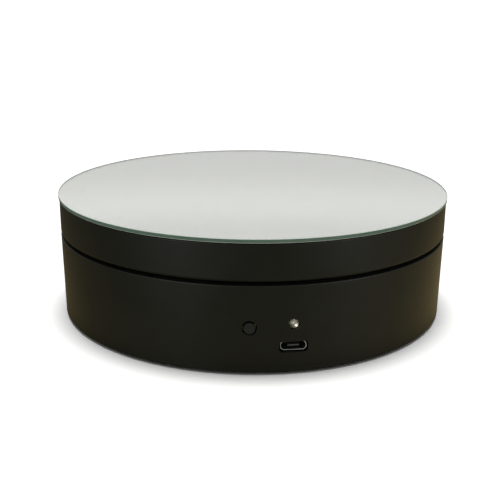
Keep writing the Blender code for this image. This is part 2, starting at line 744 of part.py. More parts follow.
def gearbox_screws():
    low, _ = ear_span()
    for number, (x, y) in enumerate(ear_places(), 1):
        piece(f"gearbox_screw_{number}",
              screw_shape(CASE_SCREW_R, CASE_SCREW_HEAD_R, CASE_SCREW_HEAD_THICK,
                          CASE_SCREW_LONG, (x, y, low - FIT), (0, 0, -1)), "zinc_screw")


# Motor

def motor_screw_places():
    half = MOTOR_SCREW_PITCH / 2
    return [(MOTOR_AT[0], MOTOR_AT[1] + side * half) for side in (-1, 1)]


def motor_can():
    inner = MOTOR_R - CAN_WALL
    boss_top = MOTOR_TOP + MOTOR_BOSS_LONG
    bore = MOTOR_SHAFT_R + FIT
    profile = [(inner, MOTOR_BOTTOM + FIT), (MOTOR_R, MOTOR_BOTTOM + FIT),
               *arc((MOTOR_R - CAN_ROUND, MOTOR_TOP - CAN_ROUND), CAN_ROUND, 0, 90, 1),
               (MOTOR_BOSS_R, MOTOR_TOP),
               (MOTOR_BOSS_R, boss_top), (bore, boss_top), (bore, MOTOR_TOP - CAN_WALL),
               (inner, MOTOR_TOP - CAN_WALL)]
    can = piece("motor_can", turned(profile, 24, MOTOR_AT), "steel")
    cut(can, [rod(MOTOR_SCREW_R + FIT, MOTOR_TOP - 2 * CAN_WALL, MOTOR_TOP + PAST, at, 12)
              for at in motor_screw_places()])


def motor_magnet():
    outer = MOTOR_R - CAN_WALL - FIT
    low = MOTOR_BOTTOM + END_CAP_THICK + SEAT
    high = MOTOR_TOP - CAN_WALL - MAGNET_ROOM
    profile = [(outer - MAGNET_THICK, low), (outer, low), (outer, high), (outer - MAGNET_THICK, high)]
    piece("motor_magnet", turned(profile, 24, MOTOR_AT), "magnet")


def motor_end_cap():
    """The plastic end bell: the rear bearing and the two terminals stand on it."""
    outer = MOTOR_R - CAN_WALL - FIT
    bore = MOTOR_SHAFT_R + FIT
    top = MOTOR_BOTTOM + END_CAP_THICK
    profile = [(bore, MOTOR_BOTTOM), (outer, MOTOR_BOTTOM), (outer, top), (bore, top)]
    cap = piece("motor_end_cap", turned(profile, 24, MOTOR_AT), "white_plastic")
    lugs = []
    for x, y in terminal_places():
        lugs.append(block((x - LUG_WIDE / 2, y - LUG_LONG / 2, MOTOR_BOTTOM - LUG_PROUD),
                          (x + LUG_WIDE / 2, y + LUG_LONG / 2, MOTOR_BOTTOM + LUG_PROUD / 2)))
    join(cap, lugs)


def terminal_places():
    return [(MOTOR_AT[0] + side * LUG_PITCH / 2, MOTOR_AT[1] - LUG_OUT) for side in (-1, 1)]


def motor_screws():
    for number, (x, y) in enumerate(motor_screw_places(), 1):
        piece(f"motor_screw_{number}",
              screw_shape(MOTOR_SCREW_R, MOTOR_SCREW_HEAD_R, MOTOR_SCREW_HEAD_THICK,
                          MOTOR_SCREW_LONG, (x, y, CASE_INSIDE + FIT), (0, 0, 1)), "zinc_screw")


def rotor():
    """Shaft, pinion and wound core, which turn together."""
    top = LAYER_1 + STAGE_THICK
    low = MOTOR_BOTTOM + END_CAP_THICK + ARMATURE_FOOT
    high = MOTOR_TOP - CAN_WALL - ARMATURE_ROOM
    origin = (*MOTOR_AT, LAYER_1)
    piece("motor_shaft", rod(MOTOR_SHAFT_R, MOTOR_BOTTOM + FIT, top, MOTOR_AT, 16), "steel", origin)
    pinion = piece("motor_pinion", toothed(SMALL_TEETH, FINE_MODULE, 0.0, LAYER_1, top, MOTOR_AT),
                   "bronze", origin)
    cut(pinion, [rod(MOTOR_SHAFT_R + FIT, LAYER_1 - PAST, top + PAST, MOTOR_AT, 14)])
    outer = MOTOR_R - CAN_WALL - FIT - MAGNET_THICK - ARMATURE_GAP
    poles = moved(prism(pole_outline(outer), low, high), (*MOTOR_AT, 0))
    core = piece("motor_armature", poles, "steel", origin)
    collar = rod(COLLAR_R, MOTOR_BOTTOM + END_CAP_THICK + SEAT, low + PAST, MOTOR_AT, 14)
    join(core, [collar])
    cut(core, [rod(MOTOR_SHAFT_R + FIT, MOTOR_BOTTOM, MOTOR_TOP, MOTOR_AT, 14)])


def pole_outline(outer):
    """Three T-shaped poles round a hub, with winding slots between them."""
    outline = []
    neck = POLE_NECK / 2
    half = math.pi / POLES * POLE_SPAN
    under = outer - POLE_SHOE
    face = [half * (2 * step / 6 - 1) for step in range(7)]
    shoe = [(outer * math.cos(a), outer * math.sin(a)) for a in face]
    for pole in range(POLES):
        centre = 2 * math.pi * pole / POLES
        left = [(ARMATURE_HUB_R, -neck), (under, -neck),
                (under * math.cos(half), -under * math.sin(half))]
        right = [(x, -y) for x, y in reversed(left)]
        for x, y in left + shoe + right:
            outline.append((x * math.cos(centre) - y * math.sin(centre),
                            x * math.sin(centre) + y * math.cos(centre)))
    return outline


# Rollers

def roller_angles():
    return [math.pi / 2 + 2 * math.pi * step / ROLLERS for step in range(ROLLERS)]


def roller_set():
    """Three rollers, each on its own steel pin lying across its well."""
    for number, angle in enumerate(roller_angles(), 1):
        at = (TRACK_R * math.cos(angle), TRACK_R * math.sin(angle), ROLLER_Z)
        outward = (math.cos(angle), math.sin(angle), 0)
        half, bore, edge = ROLLER_WIDE / 2, PIN_R + FIT, ROLLER_EDGE
        profile = [(bore, -half), (ROLLER_R - edge, -half), (ROLLER_R, -half + edge),
                   (ROLLER_R, half - edge), (ROLLER_R - edge, half), (bore, half)]
        piece(f"roller_{number}", aimed(turned(profile, 16), at, outward), "white_plastic", at)
        end = ROLLER_PIN_LONG / 2
        piece(f"roller_pin_{number}", aimed(rod(PIN_R, -end, end, sides=12), at, outward), "steel")


# Base

def base_profile():
    """Section of the base shell: wall, shoulder, pedestal and deck in one moulding."""
    edge = EDGE_ROUND
    rebate = FOOT_EDGE_R - REBATE_WALL
    slope = BASE_DRAFT / (SHOULDER_TOP - BASE_BOTTOM)
    ledge = FOOT_EDGE_R - BASE_WALL
    return [
        (rebate, BASE_BOTTOM),
        *arc((FOOT_EDGE_R - edge, BASE_BOTTOM + edge), edge, -90, 0),
        *arc((BASE_R - edge, SHOULDER_TOP - edge), edge, 0, 90),
        (PEDESTAL_R, SHOULDER_TOP),
        *arc((PEDESTAL_R - edge, DECK_TOP - edge), edge, 0, 90, 1),
        (DECK_HOLE_R, DECK_TOP),
        (DECK_HOLE_R, DECK_BOTTOM),
        (PEDESTAL_INNER_R, DECK_BOTTOM),
        (PEDESTAL_INNER_R, SHOULDER_BOTTOM),
        (ledge + slope * (SHOULDER_BOTTOM - LEDGE_Z), SHOULDER_BOTTOM),
        (ledge, LEDGE_Z),
        (rebate, LEDGE_Z),
    ]


def post_places():
    """Four posts on a ring: on the diagonals, or nearer to X where the cell's stops need the room."""
    beside_stop = cell_reach() + SEAT + CRADLE_THICK + POST_FROM_STOP + POST_R
    angle = min(math.pi / 4, math.acos(beside_stop / POST_RING_R))
    x, y = POST_RING_R * math.cos(angle), POST_RING_R * math.sin(angle)
    return [(x, y), (-x, y), (-x, -y), (x, -y)]


def well_shapes(angle):
    """A roller well under the deck, its pocket and the open notch for the pin."""
    half_wide = ROLLER_WIDE / 2 + WELL_ROOM
    half_long = ROLLER_R + WELL_ROOM
    pocket_bottom = ROLLER_Z - ROLLER_R - WELL_ROOM
    pin_half = ROLLER_PIN_LONG / 2 + SEAT
    body = block((TRACK_R - pin_half - WELL_WALL, -half_long - WELL_WALL, pocket_bottom - WELL_WALL),
                 (TRACK_R + pin_half + WELL_WALL, half_long + WELL_WALL, DECK_TOP - DECK_THICK / 2))
    pocket = block((TRACK_R - half_wide, -half_long, pocket_bottom),
                   (TRACK_R + half_wide, half_long, DECK_TOP + PAST))
    notch = block((TRACK_R - pin_half, -PIN_R - FIT, ROLLER_Z - PIN_R - FIT),
                  (TRACK_R + pin_half, PIN_R + FIT, DECK_TOP + PAST))
    return swung(body, angle), swung(pocket, angle), swung(notch, angle)


def board_planes():
    """Front and back of the control board, in y."""
    front = -WALL_INNER_R + BOARD_FROM_WALL
    return front, front + BOARD_THICK


def board_span():
    """Bottom and top of the control board."""
    return COVER_TOP + BOARD_FOOT_ROOM, SHOULDER_BOTTOM - BOARD_END_ROOM


def rail_shapes(side):
    """One of the two rails that hold the board's edges, and its slot."""
    front, back = board_planes()
    low, high = board_span()
    inner = BOARD_WIDE / 2 - RAIL_GRIP
    outer = BOARD_WIDE / 2 + SEAT + RAIL_WALL
    xs = sorted((side * inner, side * outer))
    slot = sorted((side * (inner - PAST), side * (BOARD_WIDE / 2 + SEAT)))
    wall_y = -math.sqrt(WALL_INNER_R**2 - inner**2) - BASE_WALL / 4
    rail = block((xs[0], wall_y, low), (xs[1], back + SEAT + RAIL_WALL, SHOULDER_BOTTOM + PAST))
    groove = block((slot[0], front - SEAT, low - PAST), (slot[1], back + SEAT, high + SEAT))
    return rail, groove


def front_wall_y(x):
    """The wall's outer face in front of a given x, at mid height."""
    radius = BASE_R - BASE_DRAFT / 2
    return -math.sqrt(radius**2 - x**2)


def rounded_window(wide, tall, corner, deep, at):
    """A round-cornered window cut through the front wall, along Y."""
    across, up = wide / 2 - corner, tall / 2 - corner
    corners = [((x, z), corner) for x in (-across, across) for z in (-up, up)]
    bm = hull_prism(corners, -deep / 2, deep / 2, 12)
    bm.transform(Matrix.Translation(at) @ Matrix.Rotation(math.pi / 2, 4, "X"))
    return bm


def control_holes():
    deep = 2 * (BASE_WALL + BASE_DRAFT) + 2 * PAST
    wall = -BASE_R + BASE_WALL / 2
    along = (0, -1, 0)
    button = rod(BUTTON_HOLE_R, -deep / 2, deep / 2, sides=24)
    led = rod(LED_HOLE_R, -deep / 2, deep / 2, sides=20)
    return [aimed(button, (BUTTON_X, wall, BASE_BOTTOM + BUTTON_UP), along),
            aimed(led, (LED_X, wall, BASE_BOTTOM + LED_UP), along),
            rounded_window(SOCKET_HOLE_WIDE, SOCKET_HOLE_TALL, SOCKET_HOLE_ROUND, deep,
                           (SOCKET_X, wall, BASE_BOTTOM + SOCKET_UP - SOCKET_HOLE_DROP))]


def base_shell():
    shell = piece("base_shell", turned(base_profile(), SIDES), "black_moulding")
    wells = [well_shapes(angle) for angle in roller_angles()]
    rails = [rail_shapes(side) for side in (-1, 1)]
    added = [body for body, _, _ in wells] + [rail for rail, _ in rails]
    holes = [pocket for _, pocket, _ in wells] + [notch for _, _, notch in wells]
    holes += [groove for _, groove in rails] + control_holes()
    for x, y in post_places():
        added.append(rod(POST_R, POST_BOTTOM, DECK_BOTTOM + DECK_THICK / 2, (x, y), 14))
        rib = block((POST_RING_R, -RIB_THICK / 2, LEDGE_Z + POST_RIB_UP),
                    (WALL_INNER_R + BASE_WALL / 4, RIB_THICK / 2, SHOULDER_TOP - SHOULDER_THICK / 2))
        added.append(swung(rib, math.atan2(y, x)))
        holes.append(rod(SCREW_R + FIT, POST_BOTTOM - PAST, head_seat() + SCREW_LONG + SCREW_ROOM,
                         (x, y), 10))
    for degrees in DECK_RIB_ANGLES:
        rib = block((PEDESTAL_INNER_R - DECK_RIB_LONG, -RIB_THICK / 2, DECK_BOTTOM - DECK_RIB_DEEP),
                    (PEDESTAL_INNER_R + DECK_THICK / 2, RIB_THICK / 2, DECK_BOTTOM + DECK_THICK / 2))
        added.append(swung(rib, math.radians(degrees)))
    ear_bottom, ear_top = ear_span()
    for place in ear_places():
        boss_bottom = ear_top + SEAT
        added.append(rod(EAR_R, boss_bottom, DECK_BOTTOM + DECK_THICK / 2, place, 14))
        holes.append(rod(CASE_SCREW_R + FIT, boss_bottom - PAST, ear_bottom + CASE_SCREW_LONG + PAST,
                         place, 10))
    join(shell, added)
    cut(shell, holes)


def bottom_cover():
    """The floor of the base: cradle for the cell above, screw pockets and foot seats below."""
    profile = [(0, COVER_BOTTOM), (COVER_R, COVER_BOTTOM), (COVER_R, COVER_TOP), (0, COVER_TOP)]
    cover = piece("bottom_cover", turned(profile, SIDES), "black_moulding")
    added, holes = [], []
    reach = cell_reach()
    for side in (-1, 1):
        x = side * CRADLE_X
        half = CELL_R + CRADLE_LIP
        added.append(block((x - CRADLE_THICK / 2, CELL_Y - half, COVER_TOP - PAST),
                           (x + CRADLE_THICK / 2, CELL_Y + half, COVER_TOP + CRADLE_TALL)))
        stop = sorted((side * (reach + SEAT), side * (reach + SEAT + CRADLE_THICK)))
        added.append(block((stop[0], CELL_Y - TAB_WIDE / 2, COVER_TOP - PAST),
                           (stop[1], CELL_Y + TAB_WIDE / 2, COVER_TOP + CRADLE_TALL)))
    holes.append(aimed(rod(CELL_R + SEAT, -reach, reach, sides=20), (0, CELL_Y, cell_height()),
                       (1, 0, 0)))
    boss_top = POST_BOTTOM - SEAT
    for place in post_places():
        added.append(rod(SCREW_HEAD_R + SEAT + WELL_WALL, COVER_TOP - PAST, boss_top, place, 14))
        holes.append(rod(SCREW_HEAD_R + SEAT, COVER_BOTTOM - PAST, head_seat(), place, 14))
        holes.append(rod(SCREW_R + FIT, COVER_BOTTOM - PAST, boss_top + PAST, place, 10))
    for place in foot_places():
        holes.append(rod(FOOT_R + SEAT, COVER_BOTTOM - PAST, COVER_BOTTOM + FOOT_SINK, place, 16))
    join(cover, added)
    cut(cover, holes)


def head_seat():
    """Where the cover screws' heads bear."""
    return POST_BOTTOM - SEAT - WELL_WALL


def foot_places():
    angles = [2 * math.pi * step / FEET for step in range(FEET)]
    return [(FOOT_RING_R * math.cos(a), FOOT_RING_R * math.sin(a)) for a in angles]


def cover_fixings():
    """The screws that hold the cover, and the feet stuck to it."""
    for number, (x, y) in enumerate(post_places(), 1):
        piece(f"cover_screw_{number}",
              screw_shape(SCREW_R, SCREW_HEAD_R, SCREW_HEAD_THICK, SCREW_LONG,
                          (x, y, head_seat() - FIT), (0, 0, -1)), "zinc_screw")
    top = COVER_BOTTOM + FOOT_SINK - FIT
    for number, place in enumerate(foot_places(), 1):
        profile = [(0, 0), (FOOT_R - FOOT_EDGE, 0), (FOOT_R, FOOT_EDGE), (FOOT_R, top), (0, top)]
        piece(f"rubber_foot_{number}", turned(profile, 16, place), "rubber")


# Controls

def button_stem():
    """The tact switch's stem, which reaches through the wall."""
    tip = front_wall_y(BUTTON_X) - BUTTON_PROUD
    front, _ = board_planes()
    foot = front - SWITCH_DEEP + SWITCH_WELL - BUTTON_TRAVEL - FIT
    long = foot - tip
    edge = BUTTON_EDGE
    profile = [(0, 0), (BUTTON_R, 0), (BUTTON_R, long - edge), (BUTTON_R - edge, long), (0, long)]
    at = (BUTTON_X, foot, BASE_BOTTOM + BUTTON_UP)
    piece("button_stem", aimed(turned(profile, 24), at, (0, -1, 0)), "button_black", at)


def tact_switch():
    """The switch body on the board, open at the front round the stem."""
    front, _ = board_planes()
    z = BASE_BOTTOM + BUTTON_UP
    half = SWITCH_SIZE / 2
    body = piece("tact_switch", block((BUTTON_X - half, front - SWITCH_DEEP, z - half),
                                      (BUTTON_X + half, front - FIT, z + half)), "tinned_metal")
    well = rod(BUTTON_R + FIT, 0, 2 * SWITCH_WELL, sides=20)
    cut(body, [aimed(well, (BUTTON_X, front - SWITCH_DEEP + SWITCH_WELL, z), (0, -1, 0))])


def led():
    """The clear lens behind its hole, on two leads from the board."""
    tip = front_wall_y(LED_X) - LED_PROUD
    z = BASE_BOTTOM + LED_UP
    foot = tip + LED_LONG
    flange = LED_R + LED_FLANGE
    profile = [(0, 0), (flange, 0), (flange, LED_FLANGE_THICK), (LED_R, LED_FLANGE_THICK),
               *arc((0, LED_LONG - LED_R), LED_R, 0, 90, 4)]
    profile[-1] = (0, LED_LONG)
    piece("led_lens", aimed(turned(profile, 16), (LED_X, foot, z), (0, -1, 0)), "clear_lens")
    front, _ = board_planes()
    half = LEAD_THICK / 2
    for number, side in enumerate((-1, 1), 1):
        x = LED_X + side * LEAD_PITCH / 2
        piece(f"led_lead_{number}", block((x - half, foot + FIT, z - half),
                                          (x + half, front - FIT, z + half)), "tinned_metal")


def socket_outline(grow):
    """Section of the socket's shell: a flat box, its lower corners cut off further than the upper."""
    wide, tall = SOCKET_WIDE / 2 + grow, SOCKET_TALL / 2 + grow
    low, high = SOCKET_TALL * 0.42, SOCKET_TALL * 0.2
    right = [(wide - low, -tall), (wide, low - tall), (wide, tall - high), (wide - high, tall)]
    return right + [(-x, z) for x, z in reversed(right)]


def socket_sleeve(stations, at):
    """A solid lofted through the socket's section at several (depth, growth) stations."""
    bm = bmesh.new()
    loops = []
    for depth, grow in stations:
        verts = [bm.verts.new((x, z, depth)) for x, z in socket_outline(grow)]
        loops.append([bm.edges.new(pair) for pair in zip(verts, verts[1:] + verts[:1])])
        if depth in (stations[0][0], stations[-1][0]):
            bm.faces.new(verts)
    for near, far in zip(loops, loops[1:]):
        bmesh.ops.bridge_loops(bm, edges=near + far)
    bm.transform(Matrix.Translation(at) @ Matrix.Rotation(math.pi / 2, 4, "X"))
    return bm


def usb_socket():
    """The stamped shell with its flared mouth, and the contact tongue on its insulator."""
    front, _ = board_planes()
    z = BASE_BOTTOM + SOCKET_UP
    mouth = front_wall_y(SOCKET_X) + SOCKET_RECESS
    long = (front - FIT) - mouth
    at = (SOCKET_X, front - FIT, z)
    flare = SOCKET_FLARE
    outside = [(0, 0), (long - flare * 2, 0), (long, flare)]
    shell = piece("usb_shell", socket_sleeve(outside, at), "tinned_metal")
    metal = SOCKET_METAL
    inside = [(-PAST, -metal), (long - flare * 2, -metal), (long, flare - metal * 0.6),
              (long + PAST, flare - metal * 0.6)]
    cut(shell, [socket_sleeve(inside, at)])
    inner_top = SOCKET_TALL / 2 - metal - FIT
    half = SOCKET_WIDE / 2 - metal - FIT - SOCKET_TALL * 0.3
    body = piece("usb_tongue", block((SOCKET_X - half, front - TONGUE_ROOT, z - inner_top),
                                     (SOCKET_X + half, front - SEAT, z + inner_top)), "black_chip")
    blade_top = z + inner_top - TONGUE_DROP
    blade = block((SOCKET_X - TONGUE_WIDE / 2, mouth + TONGUE_RECESS, blade_top - TONGUE_THICK),
                  (SOCKET_X + TONGUE_WIDE / 2, front - TONGUE_ROOT / 2, blade_top))
    join(body, [blade])


def control_board():
    front, back = board_planes()
    low, high = board_span()
    half = BOARD_WIDE / 2
    piece("control_board", block((-half, front, low), (half, back, high)), "circuit_board")
    chip_low = (low + high) / 2 + CHIP_UP
    piece("control_chip", block((-CHIP_WIDE / 2, back + FIT, chip_low),
                                (CHIP_WIDE / 2, back + FIT + CHIP_THICK, chip_low + CHIP_TALL)),
          "black_chip")
    wire_connector("battery_connector", CONNECTOR_X, back + FIT, low + CONNECTOR_UP)
    wire_connector("motor_connector", -CONNECTOR_X, back + FIT, low + CONNECTOR_UP)


def wire_connector(name, x, back, z):
    """A small housing whose two holes take a pair of wires."""
    wide, tall = CONNECTOR_SIZE / 2, CONNECTOR_TALL / 2
    end = back + CONNECTOR_SIZE
    housing = piece(name, block((x - wide, back, z - tall), (x + wide, end, z + tall)),
                    "white_plastic")
    holes = []
    for side in (-1, 1):
        hole = rod(WIRE_R + FIT, 0, CONNECTOR_HOLE_DEEP + PAST, sides=12)
        at = (x + side * WIRE_PITCH / 2, end - CONNECTOR_HOLE_DEEP, z)
        holes.append(aimed(hole, at, (0, 1, 0)))
    cut(housing, holes)


# Cell and wiring

def cell_height():
    return COVER_TOP + SEAT + CELL_R


def cell_reach():
    """Half the length of the cell with its tabs."""
    return CELL_LONG / 2 + SEAT + TAB_THICK


def battery_cell():
    """The wrapped cell: the nub at +X, a shallow crimp below it."""
    half = CELL_LONG / 2
    shoulder = half - NUB_LONG
    crimp = shoulder - CRIMP_UP
    profile = [(0, -half), (CELL_R - CELL_EDGE, -half), (CELL_R, -half + CELL_EDGE),
               (CELL_R, crimp - CRIMP_DEEP), (CELL_R - CRIMP_DEEP, crimp),
               (CELL_R, crimp + CRIMP_DEEP), (CELL_R, shoulder - CELL_EDGE),
               (CELL_R - CELL_EDGE, shoulder), (NUB_R, shoulder), (NUB_R, half), (0, half)]
    piece("battery_cell", aimed(turned(profile, 20), (0, CELL_Y, cell_height()), (1, 0, 0)),
          "cell_wrap")
    tab_from = CELL_LONG / 2 + SEAT
    for name, side in (("battery_tab_plus", 1), ("battery_tab_minus", -1)):
        xs = sorted((side * tab_from, side * (tab_from + TAB_THICK)))
        z = cell_height()
        piece(name, block((xs[0], CELL_Y - TAB_WIDE / 2, z - TAB_WIDE / 2),
                          (xs[1], CELL_Y + TAB_WIDE / 2, z + TAB_WIDE / 2)), "nickel")


def smooth_path(points, per_span):
    """A smooth curve through a few points, as closely spaced points (Catmull-Rom)."""
    knots = [Vector(p) for p in points]
    knots = [2 * knots[0] - knots[1], *knots, 2 * knots[-1] - knots[-2]]
    path = []
    for a, b, c, d in zip(knots, knots[1:], knots[2:], knots[3:]):
        for step in range(per_span):
            t = step / per_span
            path.append(0.5 * (2 * b + (c - a) * t + (2 * a - 5 * b + 4 * c - d) * t**2
                               + (3 * b - 3 * c + d - a) * t**3))
    path.append(knots[-2])
    return path


def wire(name, points, finish_name, per_span=2):
    """A round insulated wire along a smooth path."""
    curve = bpy.data.curves.new(name, "CURVE")
    curve.dimensions = "3D"
    curve.bevel_depth = WIRE_R
    curve.bevel_resolution = 2
    curve.use_fill_caps = True
    path = smooth_path(points, per_span)
    spline = curve.splines.new("POLY")
    spline.points.add(len(path) - 1)
    for point, place in zip(spline.points, path):
        point.co = (*place, 1.0)
    curve.materials.append(finish(finish_name))
    made = bpy.data.objects.new(name, curve)
    bpy.context.scene.collection.objects.link(made)


def plug_place():
    """Where the wires end in the connectors' holes, in y and z."""
    _, back = board_planes()
    low, _ = board_span()
    return back + FIT + CONNECTOR_SIZE - WIRE_PLUGGED, low + CONNECTOR_UP


def wire_end(x):
    """The last straight run of a wire, into its hole."""
    plug_y, plug_z = plug_place()
    return [(x, plug_y + reach * WIRE_LEAD, plug_z) for reach in (2, 1, 0)]


def wiring():
    """Two wires from the cell's tabs round the gearbox, and two from the motor's terminals."""
    plug_y, plug_z = plug_place()
    lay = COVER_TOP + WIRE_R + SEAT
    start = cell_reach() + SEAT + WIRE_R
    top = cell_height() + TAB_WIDE / 2 - WIRE_R / 2
    ring = POST_RING_R - POST_R - WIRE_FROM_POST
    for name, side, colour in (("battery_wire_red", 1, "red_wire"),
                               ("battery_wire_black", -1, "black_wire")):
        x_end = CONNECTOR_X + side * WIRE_PITCH / 2
        points = [(side * start, CELL_Y, top),
                  (side * (start + WIRE_LEAD), CELL_Y - WIRE_FROM_TAB, top - WIRE_LEAD)]
        for degrees, lift in WIRE_BENDS:
            angle = math.radians(degrees)
            points.append((side * ring * math.cos(angle), ring * math.sin(angle), lay + lift))
        points.append((x_end + side * 3 * WIRE_LEAD, plug_y + 4.5 * WIRE_LEAD,
                       plug_z - 1.5 * WIRE_LEAD))
        wire(name, points + wire_end(x_end), colour)
    for (x, y), side, colour in zip(terminal_places(), (-1, 1), ("black_wire", "red_wire")):
        x_end = -CONNECTOR_X + side * WIRE_PITCH / 2
        out = y - LUG_LONG / 2 - SEAT
        points = [(x, out, lay), (x, out - WIRE_FROM_LUG, lay),
                  ((x + x_end) / 2, (out + plug_y) / 2 - WIRE_LEAD, lay + WIRE_LEAD / 2)]
        wire("motor_wire_" + colour.split("_")[0], points + wire_end(x_end), colour)


def build():
    for old in list(bpy.data.objects):
        bpy.data.objects.remove(old, do_unlink=True)
    mirror_glass()
    adhesive_ring()
    platter_disc()
    hub_screw()
    output_shaft()
    gear_train()
    gearbox_case()
    gearbox_lid()
    shaft_bush()
    gearbox_screws()
    motor_can()
    motor_magnet()
    motor_end_cap()
    motor_screws()
    rotor()
    roller_set()
    base_shell()
    bottom_cover()
    cover_fixings()
    button_stem()
    tact_switch()
    led()
    usb_socket()
    control_board()
    battery_cell()
    wiring()


build()
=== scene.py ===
"""Looks of the motorised turntable display stand: a round mirror on a black platter and base.

Lengths are in metres. The spin axis is +Z, the floor is z = 0 and the controls face -Y.
"""

import json
import math

import bmesh
import bpy
from mathutils import Matrix, Vector

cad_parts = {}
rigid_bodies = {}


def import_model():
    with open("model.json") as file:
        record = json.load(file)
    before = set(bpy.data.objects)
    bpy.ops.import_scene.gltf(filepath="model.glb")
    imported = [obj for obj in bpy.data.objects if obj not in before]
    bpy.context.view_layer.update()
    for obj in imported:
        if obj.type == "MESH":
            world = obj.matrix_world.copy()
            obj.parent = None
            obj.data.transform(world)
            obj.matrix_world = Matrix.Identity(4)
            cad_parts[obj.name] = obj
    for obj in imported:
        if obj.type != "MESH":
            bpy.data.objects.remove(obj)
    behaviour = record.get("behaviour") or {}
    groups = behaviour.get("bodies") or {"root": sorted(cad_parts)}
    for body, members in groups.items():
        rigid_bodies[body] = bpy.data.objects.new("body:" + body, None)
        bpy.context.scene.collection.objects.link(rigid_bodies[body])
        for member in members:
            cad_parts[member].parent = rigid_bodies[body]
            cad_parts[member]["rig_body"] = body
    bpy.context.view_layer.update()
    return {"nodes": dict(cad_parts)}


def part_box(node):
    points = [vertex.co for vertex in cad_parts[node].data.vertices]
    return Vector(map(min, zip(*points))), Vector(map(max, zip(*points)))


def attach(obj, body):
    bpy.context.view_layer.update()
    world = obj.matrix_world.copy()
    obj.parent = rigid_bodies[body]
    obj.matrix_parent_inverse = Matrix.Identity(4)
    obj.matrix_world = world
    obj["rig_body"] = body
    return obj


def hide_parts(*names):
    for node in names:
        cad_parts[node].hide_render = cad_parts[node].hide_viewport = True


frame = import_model()

MM = 0.001


# Node expressions

class Signal:
    """An output socket of a node tree. Arithmetic on signals adds Math nodes."""

    def __init__(self, tree, socket=None):
        self.tree = tree
        self.socket = socket

    def node(self, kind, settings=None, inputs=None, output=0):
        """Adds a node of any kind: its settings first, then the values or links of its sockets."""
        made = self.tree.nodes.new(kind)
        for key, value in (settings or {}).items():
            if key == "stops":
                ramp = made.color_ramp
                while len(ramp.elements) < len(value):
                    ramp.elements.new(1.0)
                for element, (place, colour) in zip(ramp.elements, value):
                    element.position = place
                    element.color = (*colour, 1.0)
            else:
                setattr(made, key, value)
        for key, value in (inputs or {}).items():
            if isinstance(value, Signal):
                self.tree.links.new(value.socket, made.inputs[key])
            else:
                made.inputs[key].default_value = value
        return Signal(self.tree, made.outputs[output] if len(made.outputs) else None)

    def math(self, operation, *others):
        inputs = dict(enumerate((self, *others)))
        return self.node("ShaderNodeMath", {"operation": operation}, inputs)

    def __add__(self, other):
        return self.math("ADD", other)

    __radd__ = __add__

    def __mul__(self, other):
        return self.math("MULTIPLY", other)

    __rmul__ = __mul__

    def __sub__(self, other):
        return self.math("SUBTRACT", other)

    def __rsub__(self, other):
        return self.node("ShaderNodeMath", {"operation": "SUBTRACT"}, {0: other, 1: self})

    def below(self, limit):
        return self.math("LESS_THAN", limit)

    def rise(self, low, high):
        """0 below `low`, 1 above `high`, and smooth between them."""
        return self.node("ShaderNodeMapRange", {"interpolation_type": "SMOOTHSTEP"},
                         {"Value": self, "From Min": low, "From Max": high})


def outputs_of(signal, *names):
    """Further outputs of the node that a signal comes from."""
    return [Signal(signal.tree, signal.socket.node.outputs[name]) for name in names]


def coordinates(start):
    """Object coordinates, which are the stand's own metres."""
    return start.node("ShaderNodeTexCoord", output="Object")


def parts_of(vector):
    """The x, y and z of a vector."""
    return outputs_of(vector.node("ShaderNodeSeparateXYZ", inputs={0: vector}), 0, 1, 2)


def vector_math(operation, first, second=None, output=0):
    inputs = {0: first} if second is None else {0: first, 1: second}
    return first.node("ShaderNodeVectorMath", {"operation": operation}, inputs, output)


def stretched(vector, scale, at=(0.0, 0.0, 0.0)):
    """A vector moved by `at` and scaled along each axis."""
    return vector.node("ShaderNodeMapping", {"vector_type": "POINT"},
                       {"Vector": vector, "Location": at, "Scale": scale})


def noise(vector, size, detail=2.0, roughness=0.5):
    """Smooth noise from 0 to 1 whose lumps are about `size` across."""
    return vector.node("ShaderNodeTexNoise", inputs={"Vector": vector, "Scale": 1.0 / size,
                                                     "Detail": detail, "Roughness": roughness})


def cells(vector, size):
    """Distance from the middle of Voronoi cells about `size` across."""
    return vector.node("ShaderNodeTexVoronoi", inputs={"Vector": vector, "Scale": 1.0 / size})


def mixed(mask, low, high):
    """The colour `low` where the mask is 0 and `high` where it is 1."""
    low, high = ((*c, 1.0) if isinstance(c, tuple) else c for c in (low, high))
    return mask.node("ShaderNodeMix", {"data_type": "RGBA"}, {0: mask, 6: low, 7: high}, 2)


def bumped(height, depth):
    """A normal from a height of 0 to 1 that stands `depth` high."""
    return height.node("ShaderNodeBump", inputs={"Height": height, "Strength": 1.0,
                                                 "Distance": depth})


def new_material(name):
    made = bpy.data.materials.new(name)
    made.use_nodes = True
    made.node_tree.nodes.clear()
    return made, Signal(made.node_tree)


def finish(name, pattern, *options):
    """A material whose shader inputs are what a pattern makes of the Object coordinates."""
    made, start = new_material(f"{name}_finish")
    inputs = pattern(coordinates(start), *options)
    shader = start.node("ShaderNodeBsdfPrincipled",
                        inputs={key.replace("_", " "): value for key, value in inputs.items()})
    start.node("ShaderNodeOutputMaterial", inputs={"Surface": shader})
    return made


# Finishes

def toned(feature, dark, light, rough, spread, depth=0.0, **others):
    """Shader inputs that follow one feature: the colour, the roughness and the relief."""
    inputs = dict(Base_Color=mixed(feature, dark, light), Roughness=rough + spread * feature)
    if depth:
        inputs["Normal"] = bumped(feature, depth)
    return inputs | others


